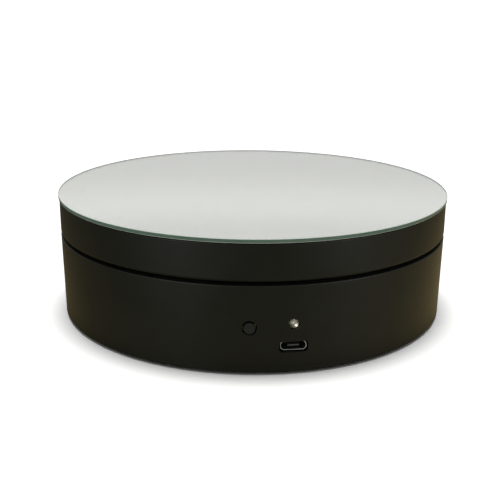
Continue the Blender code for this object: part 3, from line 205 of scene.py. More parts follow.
def black_moulding(place):
    """Black ABS with a fine spark-eroded grain."""
    grain = noise(place, 0.16 * MM, 2.0, 0.6)
    drift = noise(place, 9.0 * MM, 3.0)
    wear = noise(place, 1.3 * MM, 4.0, 0.7)
    return dict(
        Base_Color=mixed(drift.rise(0.3, 0.7), (0.0092, 0.0108, 0.0074), (0.0108, 0.0126, 0.0088)),
        Roughness=0.44 + 0.10 * (wear - 0.5),
        Specular_IOR_Level=0.10,
        Normal=bumped(grain, 0.018 * MM))


def clear_glass(place):
    """The polished face of the glass, with the faintest film of dust on it."""
    film = noise(place, 14.0 * MM, 4.0, 0.6)
    wipes = noise(stretched(place, (1.0, 0.12, 1.0)), 5.0 * MM, 3.0)
    return dict(
        Base_Color=mixed(film.rise(0.35, 0.75), (0.975, 0.990, 0.975), (0.965, 0.980, 0.965)),
        Roughness=0.006 * film.rise(0.4, 0.8) * wipes,
        IOR=1.52,
        Transmission_Weight=1.0)


def silvering(place):
    """The silver on the back of the glass, as bright as the eye sees it through the glass."""
    return toned(noise(place, 20.0 * MM, 3.0), (0.900, 0.905, 0.885), (0.885, 0.890, 0.870),
                 0.01, 0.01, Metallic=1.0)


def glass_edge(place):
    """The ground edge of the glass: deep green, with fine lines from the grinding belt."""
    lines = noise(stretched(place, (0.03, 0.03, 1.0)), 0.06 * MM, 2.0)
    cloud = noise(place, 6.0 * MM, 3.0)
    return dict(
        Base_Color=mixed(cloud.rise(0.3, 0.7), (0.098, 0.180, 0.136), (0.116, 0.204, 0.156)),
        Roughness=0.30 + 0.15 * lines,
        IOR=1.52,
        Normal=bumped(lines, 0.01 * MM))


def arris_painted_highlight(place):
    """The narrow arris between the mirror's face and its edge, much paler than the ground edge beside
    it: a painted highlight along the rim, with lighter chips in it.
    """
    chips = noise(place, 0.7 * MM, 3.0, 0.7)
    return dict(
        Base_Color=mixed(chips.rise(0.35, 0.75), (0.52, 0.61, 0.53), (0.69, 0.77, 0.69)),
        Roughness=0.22 + 0.25 * chips,
        IOR=1.52)


def foam_tape(place):
    """White closed-cell foam with a tacky face."""
    pores = cells(place, 0.35 * MM)
    return dict(
        Base_Color=mixed(pores.rise(0.1, 0.6), (0.58, 0.57, 0.53), (0.78, 0.77, 0.73)),
        Roughness=0.75 + 0.15 * pores,
        Normal=bumped(pores, 0.08 * MM))


def white_gear(place):
    """Natural acetal, slick where the teeth rub, with a little grease."""
    flow = noise(place, 4.0 * MM, 3.0)
    grease = noise(place, 1.6 * MM, 4.0, 0.65).rise(0.56, 0.68)
    return dict(
        Base_Color=mixed(flow, (0.76, 0.74, 0.67), (0.84, 0.82, 0.76)),
        Roughness=0.46 - 0.30 * grease + 0.06 * flow,
        Normal=bumped(noise(place, 0.25 * MM), 0.008 * MM))


def turned_steel(place):
    """Steel with fine turning lines about the vertical axis."""
    lines = noise(stretched(place, (0.08, 0.08, 1.0)), 0.07 * MM, 3.0)
    smudge = noise(place, 2.5 * MM, 4.0, 0.6)
    return dict(
        Base_Color=mixed(smudge, (0.46, 0.46, 0.47), (0.58, 0.58, 0.59)),
        Metallic=1.0,
        Roughness=0.24 + 0.16 * lines + 0.08 * smudge,
        Normal=bumped(lines, 0.006 * MM))


def zinc_screw(place):
    """Bright zinc plate with a cloudy passivated tint."""
    cloud = noise(place, 1.1 * MM, 3.0)
    pits = noise(place, 0.18 * MM, 2.0)
    stops = [(0.25, (0.58, 0.60, 0.62)), (0.5, (0.66, 0.65, 0.61)), (0.75, (0.60, 0.62, 0.66))]
    return dict(
        Base_Color=cloud.node("ShaderNodeValToRGB", {"stops": stops}, {"Fac": cloud}),
        Metallic=1.0,
        Roughness=0.26 + 0.16 * pits,
        Normal=bumped(pits, 0.012 * MM))


def sintered_bronze(place):
    """Porous oil-filled bronze."""
    pores = cells(place, 0.14 * MM).rise(0.12, 0.3)
    oil = noise(place, 1.5 * MM, 3.0)
    return dict(
        Base_Color=mixed(pores, (0.16, 0.09, 0.035), (0.56, 0.36, 0.16)),
        Metallic=1.0,
        Roughness=0.46 - 0.18 * oil,
        Normal=bumped(pores, 0.02 * MM))


def ferrite(place):
    """Sintered ferrite, dark and granular."""
    return toned(cells(place, 0.22 * MM), (0.045, 0.045, 0.050), (0.095, 0.095, 0.100),
                 0.55, 0.2, 0.03 * MM)


def circuit_board(place):
    """Green solder mask over square-cornered tracks, with tinned pads on a grid."""
    x, _, z = parts_of(place)
    flat = place.node("ShaderNodeCombineXYZ", inputs={0: x, 1: z})
    near, next_near = (flat.node("ShaderNodeTexVoronoi",
                                 {"feature": feature, "distance": "MANHATTAN",
                                  "voronoi_dimensions": "2D"},
                                 {"Vector": flat, "Scale": 1.0 / (3.4 * MM), "Randomness": 0.8})
                       for feature in ("F1", "F2"))
    tracks = 1.0 - (next_near - near).rise(0.05, 0.08)
    pitch = 2.54 * MM
    on_grid = vector_math("MODULO", stretched(place, (1.0, 0.0, 1.0), (0.1, 0.0, 0.1)),
                          (pitch, 1.0, pitch))
    from_pad = vector_math("DISTANCE", on_grid, (pitch / 2, 0.0, pitch / 2), "Value")
    pads = from_pad.below(0.34 * MM) * cells(place, 7.0 * MM).below(0.36)
    mask = mixed(tracks, (0.012, 0.115, 0.046), (0.018, 0.160, 0.066))
    return dict(
        Base_Color=mixed(pads, mask, (0.70, 0.69, 0.66)),
        Metallic=pads,
        Roughness=0.34 + 0.10 * noise(place, 0.4 * MM, 2.0),
        Normal=bumped(tracks + pads * 1.5, 0.03 * MM))


def moulded_epoxy(place, dark, light):
    """Matt chip epoxy with a fine blasted face."""
    return toned(noise(place, 0.12 * MM, 3.0, 0.7), dark, light, 0.5, 0.2, 0.015 * MM)


def tinned_metal(place):
    """Tin-plated sheet with faint rolling lines."""
    rolled = noise(stretched(place, (0.1, 1.0, 1.0)), 0.12 * MM, 3.0)
    bloom = noise(place, 1.2 * MM, 3.0)
    return dict(
        Base_Color=mixed(bloom, (0.56, 0.55, 0.53), (0.70, 0.69, 0.67)),
        Metallic=1.0,
        Roughness=0.26 + 0.14 * rolled + 0.08 * bloom,
        Normal=bumped(rolled, 0.008 * MM))


def nickel_strip(place):
    """Nickel strip with rolling lines and a straw tint where welding heated it."""
    rolled = noise(stretched(place, (1.0, 1.0, 0.05)), 0.1 * MM, 2.0)
    heat = noise(place, 2.0 * MM, 2.0).rise(0.5, 0.8)
    return dict(
        Base_Color=mixed(heat, (0.66, 0.63, 0.58), (0.55, 0.46, 0.36)),
        Metallic=1.0,
        Roughness=0.24 + 0.16 * rolled,
        Normal=bumped(rolled, 0.01 * MM))


def cell_wrap(place):
    """Blue shrink sleeve, drawn tight with faint lengthwise wrinkles."""
    wrinkles = noise(stretched(place, (0.12, 1.0, 1.0)), 1.4 * MM, 3.0)
    tone = noise(place, 8.0 * MM, 2.0)
    return dict(
        Base_Color=mixed(tone, (0.045, 0.19, 0.46), (0.060, 0.23, 0.53)),
        Roughness=0.28 + 0.12 * wrinkles,
        Normal=bumped(wrinkles, 0.06 * MM))


def white_nylon(place):
    """Natural nylon, a little cloudy."""
    return toned(noise(place, 1.8 * MM, 3.0), (0.70, 0.69, 0.63), (0.80, 0.79, 0.74),
                 0.42, 0.14, Normal=bumped(noise(place, 0.2 * MM), 0.01 * MM))


def button_black(place):
    """The push button's slicker black plastic, its roughness varying at random."""
    return toned(noise(place, 0.9 * MM, 3.0), (0.0180, 0.0225, 0.0230), (0.0215, 0.0262, 0.0262),
                 0.36, 0.14, Specular_IOR_Level=0.14,
                 Normal=bumped(noise(place, 0.12 * MM), 0.008 * MM))


def clear_lens(place):
    """Water-clear epoxy."""
    return toned(noise(place, 0.5 * MM), (0.86, 0.85, 0.77), (0.80, 0.79, 0.70),
                 0.02, 0.05, IOR=1.50, Transmission_Weight=1.0)


def rubber(place):
    """Soft black rubber with a dusty bloom."""
    bloom = noise(place, 1.5 * MM, 4.0, 0.6)
    pimple = cells(place, 0.5 * MM)
    return dict(
        Base_Color=mixed(bloom.rise(0.4, 0.8), (0.020, 0.020, 0.020), (0.042, 0.041, 0.039)),
        Roughness=0.78 + 0.14 * bloom,
        Specular_IOR_Level=0.25,
        Normal=bumped(pimple, 0.04 * MM))


def wire_sheath(place, dark, light):
    """Soft wire insulation with slight scuffs."""
    return toned(noise(place, 1.2 * MM, 3.0, 0.6), dark, light, 0.38, 0.2, 0.02 * MM)


def gold_contact(place):
    """Gold flash over the socket's contacts."""
    return toned(noise(stretched(place, (1.0, 0.1, 1.0)), 0.08 * MM), (0.66, 0.44, 0.14),
                 (0.82, 0.60, 0.24), 0.2, 0.15, Metallic=1.0)


def winding_wire(place, centre):
    """Enamelled copper wire in close turns, drawn as rings about the rotor's axis."""
    x, y, _ = parts_of(stretched(place, (1.0, 1.0, 1.0), (-centre[0], -centre[1], 0.0)))
    out = place.node("ShaderNodeCombineXYZ", inputs={0: x, 1: y})
    reach = vector_math("LENGTH", out, output="Value")
    wire = 0.28 * MM
    turns = (reach * (2 * math.pi / wire)).math("SINE") * 0.5 + 0.5
    tone = noise(place, 0.9 * MM, 2.0)
    return dict(
        Base_Color=mixed(tone, (0.50, 0.17, 0.06), (0.66, 0.27, 0.11)),
        Metallic=0.9,
        Roughness=0.26 + 0.12 * tone,
        Normal=bumped(turns, 0.06 * MM))


def tin_painted_light(place, shine, dark, light):
    """Sheet tin in drawn streaks whose colours and shine the caller sets: near black for painted
    shade, pale and less metallic for a painted highlight.
    """
    return toned(noise(stretched(place, (1.0, 0.08, 1.0)), 0.15 * MM, 3.0), dark, light,
                 0.55, 0.15, Metallic=shine)


def lamp_cup(place):
    """The stamped reflector inside the lamp: dull silver plate, a little yellowed."""
    return toned(noise(place, 0.4 * MM, 3.0), (0.22, 0.214, 0.178), (0.28, 0.273, 0.234),
                 0.38, 0.10, 0.008 * MM, Metallic=1.0)


# The record's material slots, each with its pattern and the pattern's own shades
FINISHES = {slot: finish(slot, *pattern) for slot, *pattern in (
    ("black_moulding", black_moulding),
    ("mirror", clear_glass),
    ("foam_tape", foam_tape),
    ("white_gear", white_gear),
    ("steel", turned_steel),
    ("zinc_screw", zinc_screw),
    ("bronze", sintered_bronze),
    ("magnet", ferrite),
    ("circuit_board", circuit_board),
    ("black_chip", moulded_epoxy, (0.016, 0.016, 0.017), (0.028, 0.028, 0.030)),
    ("tinned_metal", tinned_metal),
    ("nickel", nickel_strip),
    ("cell_wrap", cell_wrap),
    ("white_plastic", white_nylon),
    ("button_black", button_black),
    ("clear_lens", clear_lens),
    ("rubber", rubber),
    ("red_wire", wire_sheath, (0.40, 0.012, 0.012), (0.52, 0.022, 0.018)),
    ("black_wire", wire_sheath, (0.014, 0.014, 0.014), (0.024, 0.024, 0.024)),
)}
GLASS_EDGE = finish("glass_edge", glass_edge)
# The arris is painted as a pale highlight line, paler than the ground edge beside it.
ARRIS_PAINTED_HIGHLIGHT = finish("arris_painted_highlight", arris_painted_highlight)
SILVERING = finish("silvering", silvering)
GOLD = finish("gold_contact", gold_contact)
DULL_CUP = finish("lamp_cup", lamp_cup)
# Painted shade: near-black tin for the inside of the socket's shell, its outside at the mouth and the
# rim along its top.
TIN_PAINTED_SHADE = finish("tin_painted_shade", tin_painted_light, 0.6, (0.024, 0.024, 0.023), (0.052, 0.052, 0.049))
# Painted highlight: the lip's rim in a pale tin, paler and less metallic than the shell's tin, so that
# it shows as a bright line.
LIP_PAINTED_HIGHLIGHT = finish("socket_lip_painted_highlight", tin_painted_light, 0.25, (0.61, 0.655, 0.61), (0.72, 0.775, 0.725))
TONGUE = finish("tongue", moulded_epoxy, (0.068, 0.071, 0.066), (0.090, 0.094, 0.086))


# Shapes

def arc(centre, radius, start, end, steps=6):
    """Points of a fillet in a profile, from one angle in degrees to another."""
    angles = [math.radians(start + (end - start) * step / steps) for step in range(steps + 1)]
    return [(centre[0] + radius * math.cos(a), centre[1] + radius * math.sin(a)) for a in angles]


def face_outwards(bm):
    bmesh.ops.recalc_face_normals(bm, faces=bm.faces)
    if bm.calc_volume(signed=True) < 0:
        bmesh.ops.reverse_faces(bm, faces=bm.faces)
    return bm


def moved(bm, vec):
    bmesh.ops.translate(bm, verts=bm.verts, vec=vec)
    return bm


def lathe(profile, segments=48, at=(0.0, 0.0)):
    """A profile of (radius, height) points spun about a vertical axis into a closed solid."""
    bm = bmesh.new()
    verts = [bm.verts.new((radius, 0, height)) for radius, height in profile]
    edges = [bm.edges.new(pair) for pair in zip(verts, verts[1:])]
    if profile[0][0] > 0 or profile[-1][0] > 0:
        edges.append(bm.edges.new((verts[-1], verts[0])))
    bmesh.ops.spin(bm, geom=verts + edges, axis=(0, 0, 1), angle=2 * math.pi, steps=segments,
                   use_merge=True)
    bmesh.ops.remove_doubles(bm, verts=bm.verts, dist=1e-7)
    return face_outwards(moved(bm, (*at, 0)))


def rod(radius, bottom, top, at=(0.0, 0.0), segments=32):
    return lathe([(0, bottom), (radius, bottom), (radius, top), (0, top)], segments, at)


def eased_edges(bm, edges, offset, segments=2):
    bmesh.ops.bevel(bm, geom=edges, offset=offset, segments=segments, profile=0.5,
                    affect="EDGES", material=-1)


def block(corner, other, round_by=0.0):
    """A box between two opposite corners, its edges rounded."""
    low, high = (Vector(pick(pair) for pair in zip(corner, other)) for pick in (min, max))
    bm = bmesh.new()
    bmesh.ops.create_cube(bm, size=1.0)
    bmesh.ops.scale(bm, verts=bm.verts, vec=high - low)
    moved(bm, (low + high) / 2)
    if round_by:
        eased_edges(bm, bm.edges[:], round_by)
    return bm


def aimed(bm, at, axis):
    """Turns a shape drawn about +Z until that axis points along `axis`, and moves it to `at`."""
    turn = Vector((0, 0, 1)).rotation_difference(Vector(axis)).to_matrix().to_4x4()
    bm.transform(Matrix.Translation(at) @ turn)
    return bm


def swung(bm, angle):
    """Turns a shape about the spin axis."""
    bm.transform(Matrix.Rotation(angle, 4, "Z"))
    return bm


def rib(start, end, bottom, top, angle, thick=1.4 * MM):
    """A radial rib between two radii."""
    return swung(block((start, -thick / 2, bottom), (end, thick / 2, top)), angle)


def lofted(loops):
    """Closed loops of points, joined in order by walls."""
    bm = bmesh.new()
    edges = []
    for points in loops:
        verts = [bm.verts.new(point) for point in points]
        edges.append([bm.edges.new(pair) for pair in zip(verts, verts[1:] + verts[:1])])
    for near, far in zip(edges, edges[1:]):
        bmesh.ops.bridge_loops(bm, edges=near + far)
    return bm


def capped(bm):
    """Fills the holes of a shape."""
    bmesh.ops.holes_fill(bm, edges=[edge for edge in bm.edges if edge.is_boundary])
    return bm


def to_mesh(name, bm):
    """Turns a shape into a mesh and frees the shape."""
    mesh = bpy.data.meshes.new(name)
    bm.to_mesh(mesh)
    bm.free()
    return mesh


def gathered(shapes):
    """Several separate solids in one mesh."""
    whole = bmesh.new()
    for shape in shapes:
        held = to_mesh("held", face_outwards(shape))
        whole.from_mesh(held)
        bpy.data.meshes.remove(held)
    return whole


def placed(name, data):
    """A new object in the scene."""
    made = bpy.data.objects.new(name, data)
    bpy.context.scene.collection.objects.link(made)
    return made


def combined(name, shape, added=(), cut=()):
    """The mesh of a shape that has others joined to it, and then some cut from it."""
    mesh = to_mesh(name, shape)
    for operation, shapes in (("UNION", added), ("DIFFERENCE", cut)):
        if not shapes:
            continue
        host = placed(name + "_host", mesh)
        group = bpy.data.collections.new(name + "_shapes")
        bpy.context.scene.collection.children.link(group)
        for other in shapes:
            other = to_mesh(name + "_shape", face_outwards(other))
            group.objects.link(bpy.data.objects.new(name + "_shape", other))
        step = host.modifiers.new(operation, "BOOLEAN")
        step.operation = operation
        step.operand_type = "COLLECTION"
        step.collection = group
        step.solver = "EXACT"
        bpy.context.view_layer.update()
        seen = host.evaluated_get(bpy.context.evaluated_depsgraph_get())
        mesh = bpy.data.meshes.new_from_object(seen)
        for old in [*group.objects, host]:
            bpy.data.objects.remove(old, do_unlink=True)
        bpy.data.collections.remove(group)
    return mesh


def piece(name, body, slot, shape, own_finish=None):
    """A finished piece that rides on a body and takes its slot's finish, or one of its own."""
    mesh = shape if isinstance(shape, bpy.types.Mesh) else to_mesh(name, shape)
    mesh.name = name
    mesh.materials.clear()
    mesh.materials.append(own_finish or FINISHES[slot])
    mesh.shade_smooth()
    mesh.set_sharp_from_angle(angle=math.radians(35))
    made = placed(name, mesh)
    made.modifiers.new("even_normals", "WEIGHTED_NORMAL").keep_sharp = True
    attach(made, body)
    return made


def stand_in(name, node, shape, own_finish=None):
    """A piece shown instead of a node, on the node's body and in its slot."""
    source = frame["nodes"][node]
    made = piece(name, source["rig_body"], source["maker_slot"], shape, own_finish)
    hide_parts(node)
    return made


# Sizes, from the frame

def middle(node):
    """The middle of a node's box."""
    low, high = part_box(node)
    return (low + high) / 2


def numbered(name, count):
    """The names NAME_1, NAME_2 and so on."""
    return [f"{name}_{number}" for number in range(1, count + 1)]


GLASS_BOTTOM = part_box("mirror_glass")[0].z
GLASS_R, _, STAND_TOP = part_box("mirror_glass")[1]
SKIRT_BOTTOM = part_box("platter_disc")[0].z
RIM_R, _, RIM_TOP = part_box("platter_disc")[1]
BASE_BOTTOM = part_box("base_shell")[0].z
DECK_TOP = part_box("base_shell")[1].z
COVER_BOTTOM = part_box("bottom_cover")[0].z
COVER_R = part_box("bottom_cover")[1].x
COVER_TOP = COVER_BOTTOM + 2.0 * MM
SHOULDER_TOP = SKIRT_BOTTOM - 1.05 * MM
WALL = 2.2 * MM
DRAFT = 0.4 * MM
TRACK_R = 50.0 * MM
SCREW_HOLE_R = 1.65 * MM
STEM_R = 1.75 * MM
BUTTON_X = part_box("button_stem")[0].x + STEM_R
BUTTON_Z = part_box("button_stem")[0].z + STEM_R
LED_X, _, LED_Z = middle("led_lens")
SOCKET_X, _, SOCKET_Z = middle("usb_shell")
ROUND_SEGMENTS = 240
MIRROR_SEGMENTS = 288
PAST = 1.0 * MM    # how far a cutter or a joined shape reaches past a face


# Mirror and platter

def mirror():
    """The glass disc: clear face, narrow arris, ground edge and silvered back."""
    arris = 0.15 * MM
    profile = [(0, GLASS_BOTTOM), (GLASS_R - arris, GLASS_BOTTOM), (GLASS_R, GLASS_BOTTOM + arris),
               (GLASS_R, STAND_TOP - arris), (GLASS_R - arris, STAND_TOP), (0, STAND_TOP)]
    made = stand_in("mirror_disc", "mirror_glass", lathe(profile, MIRROR_SEGMENTS))
    for own_finish in (GLASS_EDGE, ARRIS_PAINTED_HIGHLIGHT, SILVERING):
        made.data.materials.append(own_finish)
    # The arris faces take the painted highlight.
    edge_slot, arris_highlight_slot, silver_slot = 1, 2, 3
    for face in made.data.polygons:
        if face.normal.z < -0.9:
            face.material_index = silver_slot
        elif abs(face.normal.z) < 0.1:
            face.material_index = edge_slot
        elif face.normal.z < 0.9:
            face.material_index = arris_highlight_slot
    made.data.set_sharp_from_angle(angle=math.radians(20))


def platter():
    """The skirted platter, its rim above and its hub, roller track and ribs below."""
    plate_bottom = RIM_TOP - 2.7 * MM
    plate_top = plate_bottom + 2.0 * MM
    track_top = plate_bottom - 0.6 * MM
    track_in, track_out = TRACK_R - 2.5 * MM, TRACK_R + 2.5 * MM
    inner, tape_seat = RIM_R - 2.0 * MM, RIM_R - 1.2 * MM
    skirt_edge, rim_edge, lip = 1.0 * MM, 0.25 * MM, 0.3 * MM
    profile = [
        (0, plate_bottom),
        (track_in, plate_bottom),
        (track_in, track_top),
        (track_out, track_top),
        (track_out, plate_bottom),
        *arc((inner - lip, plate_bottom - lip), lip, 90, 0, 4),
        *arc((inner + lip, SKIRT_BOTTOM + lip), lip, 180, 270, 4),
        *arc((RIM_R - skirt_edge, SKIRT_BOTTOM + skirt_edge), skirt_edge, -90, 0, 10),
        *arc((RIM_R - rim_edge, RIM_TOP - rim_edge), rim_edge, 0, 90),
        (tape_seat, RIM_TOP),
        (tape_seat, plate_top),
        (0, plate_top),
    ]
    hub_r, hub_bottom = 7.5 * MM, DECK_TOP + 0.4 * MM
    added = [rod(hub_r, hub_bottom, plate_top - 1.0 * MM, segments=64)]
    ribs, rib_gap = 6, 2.0 * MM
    for step in range(ribs):
        for start, end in ((hub_r - PAST, track_in - rib_gap), (track_out + rib_gap, inner + PAST)):
            added.append(rib(start, end, plate_bottom - 1.8 * MM, plate_bottom + PAST,
                             2 * math.pi * (step + 0.5) / ribs))
    seat = plate_top - 1.2 * MM
    shaft_top = seat - 1.2 * MM
    bore_r, flat = 3.15 * MM, 2.55 * MM
    bore = rod(bore_r, hub_bottom - PAST, shaft_top + 0.3 * MM, segments=48)
    bmesh.ops.bisect_plane(bore, geom=bore.verts[:] + bore.edges[:] + bore.faces[:],
                           plane_co=(flat, 0, 0), plane_no=(1, 0, 0), clear_outer=True)
    cut = [rod(3.2 * MM, seat, plate_top + PAST), rod(SCREW_HOLE_R, shaft_top, plate_top),
           capped(bore)]
    stand_in("platter", "platter_disc",
             combined("platter", lathe(profile, ROUND_SEGMENTS), added, cut))


# Base

def front_wall_y(x):
    """The wall's outer face in front of a given x, at mid height."""
    return -math.sqrt((RIM_R - DRAFT / 2) ** 2 - x ** 2)


def hole_cutters(radius, x, z):
    """A round hole along Y through the wall, and a small chamfer square to the wall's face."""
    chamfer = 0.06 * MM
    at = (x, front_wall_y(x), z)
    outward = Vector((x, front_wall_y(x), 0)).normalized()
    cone = lathe([(0, -radius), (chamfer, -radius), (radius + chamfer, 0),
                  (radius + chamfer + PAST, PAST), (0, PAST)], 64)
    return [aimed(rod(radius, -4 * MM, 3 * MM, segments=64), at, (0, -1, 0)),
            aimed(cone, at, outward)]


def window_cutter():
    """The socket's round-cornered window, cut along Y."""
    wide, tall, corner = 8.9 * MM, 3.5 * MM, 1.1 * MM
    outline = []
    for side, up, turn in ((1, -1, -90), (1, 1, 0), (-1, 1, 90), (-1, -1, 180)):
        centre = (side * (wide / 2 - corner), up * (tall / 2 - corner))
        outline += arc(centre, corner, turn, turn + 90, 8)
    bar = capped(lofted([[(x, y, z) for x, z in outline] for y in (4 * MM, -3 * MM)]))
    return face_outwards(moved(bar, (SOCKET_X, front_wall_y(SOCKET_X), SOCKET_Z - 0.15 * MM)))


def base():
    """Wall, shoulder, pedestal and deck in one moulding, opened for the controls."""
    edge = 0.3 * MM
    foot_r = RIM_R - DRAFT
    rebate = foot_r - 1.4 * MM
    ledge = foot_r - WALL
    ledge_z = COVER_TOP + 0.3 * MM
    shoulder_bottom = SHOULDER_TOP - 1.8 * MM
    slope = DRAFT / (SHOULDER_TOP - BASE_BOTTOM)
    pedestal = RIM_R - 4.0 * MM
    pedestal_in = pedestal - 2.0 * MM
    deck_bottom, deck_middle = DECK_TOP - 2.0 * MM, DECK_TOP - 1.0 * MM
    hole = 6.7 * MM
    profile = [
        (rebate, BASE_BOTTOM),
        *arc((foot_r - edge, BASE_BOTTOM + edge), edge, -90, 0),
        *arc((RIM_R - edge, SHOULDER_TOP - edge), edge, 0, 90),
        (pedestal, SHOULDER_TOP),
        *arc((pedestal - edge, DECK_TOP - edge), edge, 0, 90, 8),
        (hole, DECK_TOP),
        (hole, deck_bottom),
        (pedestal_in, deck_bottom),
        (pedestal_in, shoulder_bottom),
        (ledge + slope * (shoulder_bottom - ledge_z), shoulder_bottom),
        (ledge, ledge_z),
        (rebate, ledge_z),
    ]
    added, cut = [], []
    roller_z = DECK_TOP - 1.5 * MM
    # Each roller has a walled well, an opening for the wheel and one for its pin
    for node in numbered("roller", 3):
        x, y, _ = middle(node)
        for shapes, reach, half, top in ((added, 6.3, 6.1, deck_middle),
                                         (cut, 2.6, 4.6, DECK_TOP + PAST),
                                         (cut, 4.8, 1.15, DECK_TOP + PAST)):
            shapes.append(rib(TRACK_R - reach * MM, TRACK_R + reach * MM, roller_z - half * MM,
                              top, math.atan2(y, x), 2 * half * MM))
    post_r, post_bore_deep = 3.5 * MM, 12.5 * MM
    for node in numbered("cover_screw", 4):
        x, y, _ = middle(node)
        added.append(rod(post_r, COVER_TOP + 1.8 * MM, deck_middle, (x, y)))
        added.append(rib(math.hypot(x, y), ledge + 0.8 * MM, ledge_z + 4.0 * MM,
                         SHOULDER_TOP - 0.9 * MM, math.atan2(y, x)))
        cut.append(rod(SCREW_HOLE_R, COVER_TOP, COVER_TOP + post_bore_deep, (x, y)))
    boss_r, boss_bore = 3.4 * MM, 1.4 * MM
    for node in numbered("gearbox_screw", 3):
        x, y, _ = middle(node)
        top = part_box(node)[1].z
        boss_bottom = top - 2.7 * MM
        added.append(rod(boss_r, boss_bottom, deck_middle, (x, y)))
        cut.append(rod(boss_bore, boss_bottom - PAST, top + PAST, (x, y)))
    rib_long, rib_deep = 17.0 * MM, 2.5 * MM
    for degrees in (0.0, 68.0, 112.0, 180.0):
        added.append(rib(pedestal - rib_long, pedestal - PAST, deck_bottom - rib_deep,
                         deck_bottom + PAST, math.radians(degrees)))
    low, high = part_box("control_board")
    gap = 0.3 * MM
    rail_in, rail = high.x - 1.6 * MM, 1.7 * MM
    wall_y = -math.sqrt((RIM_R - WALL - 0.25 * MM) ** 2 - rail_in ** 2) - 0.6 * MM
    for side in (-1, 1):
        added.append(block((side * rail_in, wall_y, low.z),
                           (side * (high.x + rail), high.y + rail, shoulder_bottom + PAST)))
        cut.append(block((side * (rail_in - PAST), low.y - gap, low.z - PAST),
                         (side * (high.x + gap), high.y + gap, high.z + gap)))
    button_hole, light_hole = 2.25 * MM, 1.75 * MM
    cut += hole_cutters(button_hole, BUTTON_X, BUTTON_Z)
    cut += hole_cutters(light_hole, LED_X, LED_Z)
    cut.append(window_cutter())
    stand_in("base_moulding", "base_shell",
             combined("base", lathe(profile, ROUND_SEGMENTS), added, cut))


def cover():
    """The floor of the base: cradle for the cell above, screw pockets and foot seats below."""
    chamfer = 0.25 * MM
    profile = [(0, COVER_BOTTOM), (COVER_R - chamfer, COVER_BOTTOM),
               (COVER_R, COVER_BOTTOM + chamfer), (COVER_R, COVER_TOP), (0, COVER_TOP)]
    low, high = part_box("battery_cell")
    _, cell_y, cell_z = middle("battery_cell")
    cell_r = (high.z - low.z) / 2
    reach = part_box("battery_tab_plus")[1].x
    wall_top = COVER_TOP + 7.0 * MM
    added, cut = [], []
    for side in (-1, 1):
        for near, far, half in ((20.0 * MM, 22.0 * MM, cell_r + 1.0 * MM),
                                (reach + 0.3 * MM, reach + 2.3 * MM, 4.0 * MM)):
            added.append(block((side * near, cell_y - half, COVER_TOP - PAST),
                               (side * far, cell_y + half, wall_top), 0.15 * MM))
    cut.append(aimed(rod(cell_r + 0.3 * MM, -reach, reach, segments=64), (0, cell_y, cell_z),
                     (1, 0, 0)))
    pocket, boss = 3.05 * MM, 1.5 * MM
    under, boss_top = COVER_BOTTOM - PAST, COVER_TOP + boss
    for node in numbered("cover_screw", 4):
        at = middle(node).xy
        added.append(rod(pocket + boss, COVER_TOP - PAST, boss_top, at, 48))
        cut.append(lathe([(0, under), (pocket + chamfer + PAST, under),
                          (pocket, COVER_BOTTOM + chamfer), (pocket, COVER_TOP), (0, COVER_TOP)],
                         48, at))
        cut.append(rod(SCREW_HOLE_R, under, boss_top + PAST, at))
    foot_seat, seat_deep = 6.3 * MM, 0.5 * MM
    for node in numbered("rubber_foot", 4):
        cut.append(rod(foot_seat, under, COVER_BOTTOM + seat_deep, middle(node).xy, 64))
    stand_in("cover_plate", "bottom_cover",
             combined("cover", lathe(profile, ROUND_SEGMENTS), added, cut))


def feet():
    """Rubber feet with a rounded rim and a shallow dish."""
    edge, dish = 0.5 * MM, 0.12 * MM
    for number, node in enumerate(numbered("rubber_foot", 4), 1):
        low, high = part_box(node)
        radius = (high.x - low.x) / 2
        profile = [(0, low.z + dish), (radius * 0.55, low.z + dish), (radius * 0.65, low.z),
                   *arc((radius - edge, low.z + edge), edge, -90, 0), (radius, high.z),
                   (0, high.z)]
        stand_in(f"foot_pad_{number}", node, lathe(profile, 64, middle(node).xy))


def cross_recess(width, length, depth, turn, at, axis):
    """The two blades of a tapered cross for a screwdriver, sunk from the head's top."""
    blades = []
    narrower, thinner = 0.45, 0.7
    for quarter in (0.0, math.pi / 2):
        bm = block((-length / 2, -width / 2, -depth), (length / 2, width / 2, PAST))
        for vert in bm.verts:
            if vert.co.z < 0:
                vert.co.x *= narrower
                vert.co.y *= thinner
        blades.append(aimed(swung(bm, quarter + turn), at, axis))
    return blades


def screw(name, node, shank_r, head_r, head_thick, way, turn):
    """A pan-head screw with a rounded head, a cross recess and a coarse thread."""
    low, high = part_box(node)
    length = high.z - low.z - head_thick
    at = middle(node)
    at.z = low.z + head_thick if way < 0 else high.z - head_thick
    root_r, edge = shank_r * 0.80, 0.12 * MM
    dome = head_thick * 0.45
    pitch = shank_r * 0.75
    thread = []
    height = -length + shank_r
    while height < -0.25 * pitch:
        thread += [(root_r, height), (shank_r, height + pitch * 0.35),
                   (shank_r, height + pitch * 0.45)]
        height += pitch
    crown = [math.radians(degrees) for degrees in range(12, 90, 13)]
    profile = [(0, -length), *thread, (root_r, 0), (head_r - edge, 0), (head_r, edge),
               (head_r, head_thick - dome),
               *[(head_r * math.cos(a), head_thick - dome + dome * math.sin(a)) for a in crown],
               (0, head_thick)]
    axis = Vector((0, 0, way))
    recess = cross_recess(head_r * 0.26, head_r * 1.15, head_thick * 0.55, turn,
                          at + axis * head_thick, axis)
    stand_in(name, node, combined(name, aimed(lathe(profile, 48), at, axis), cut=recess))


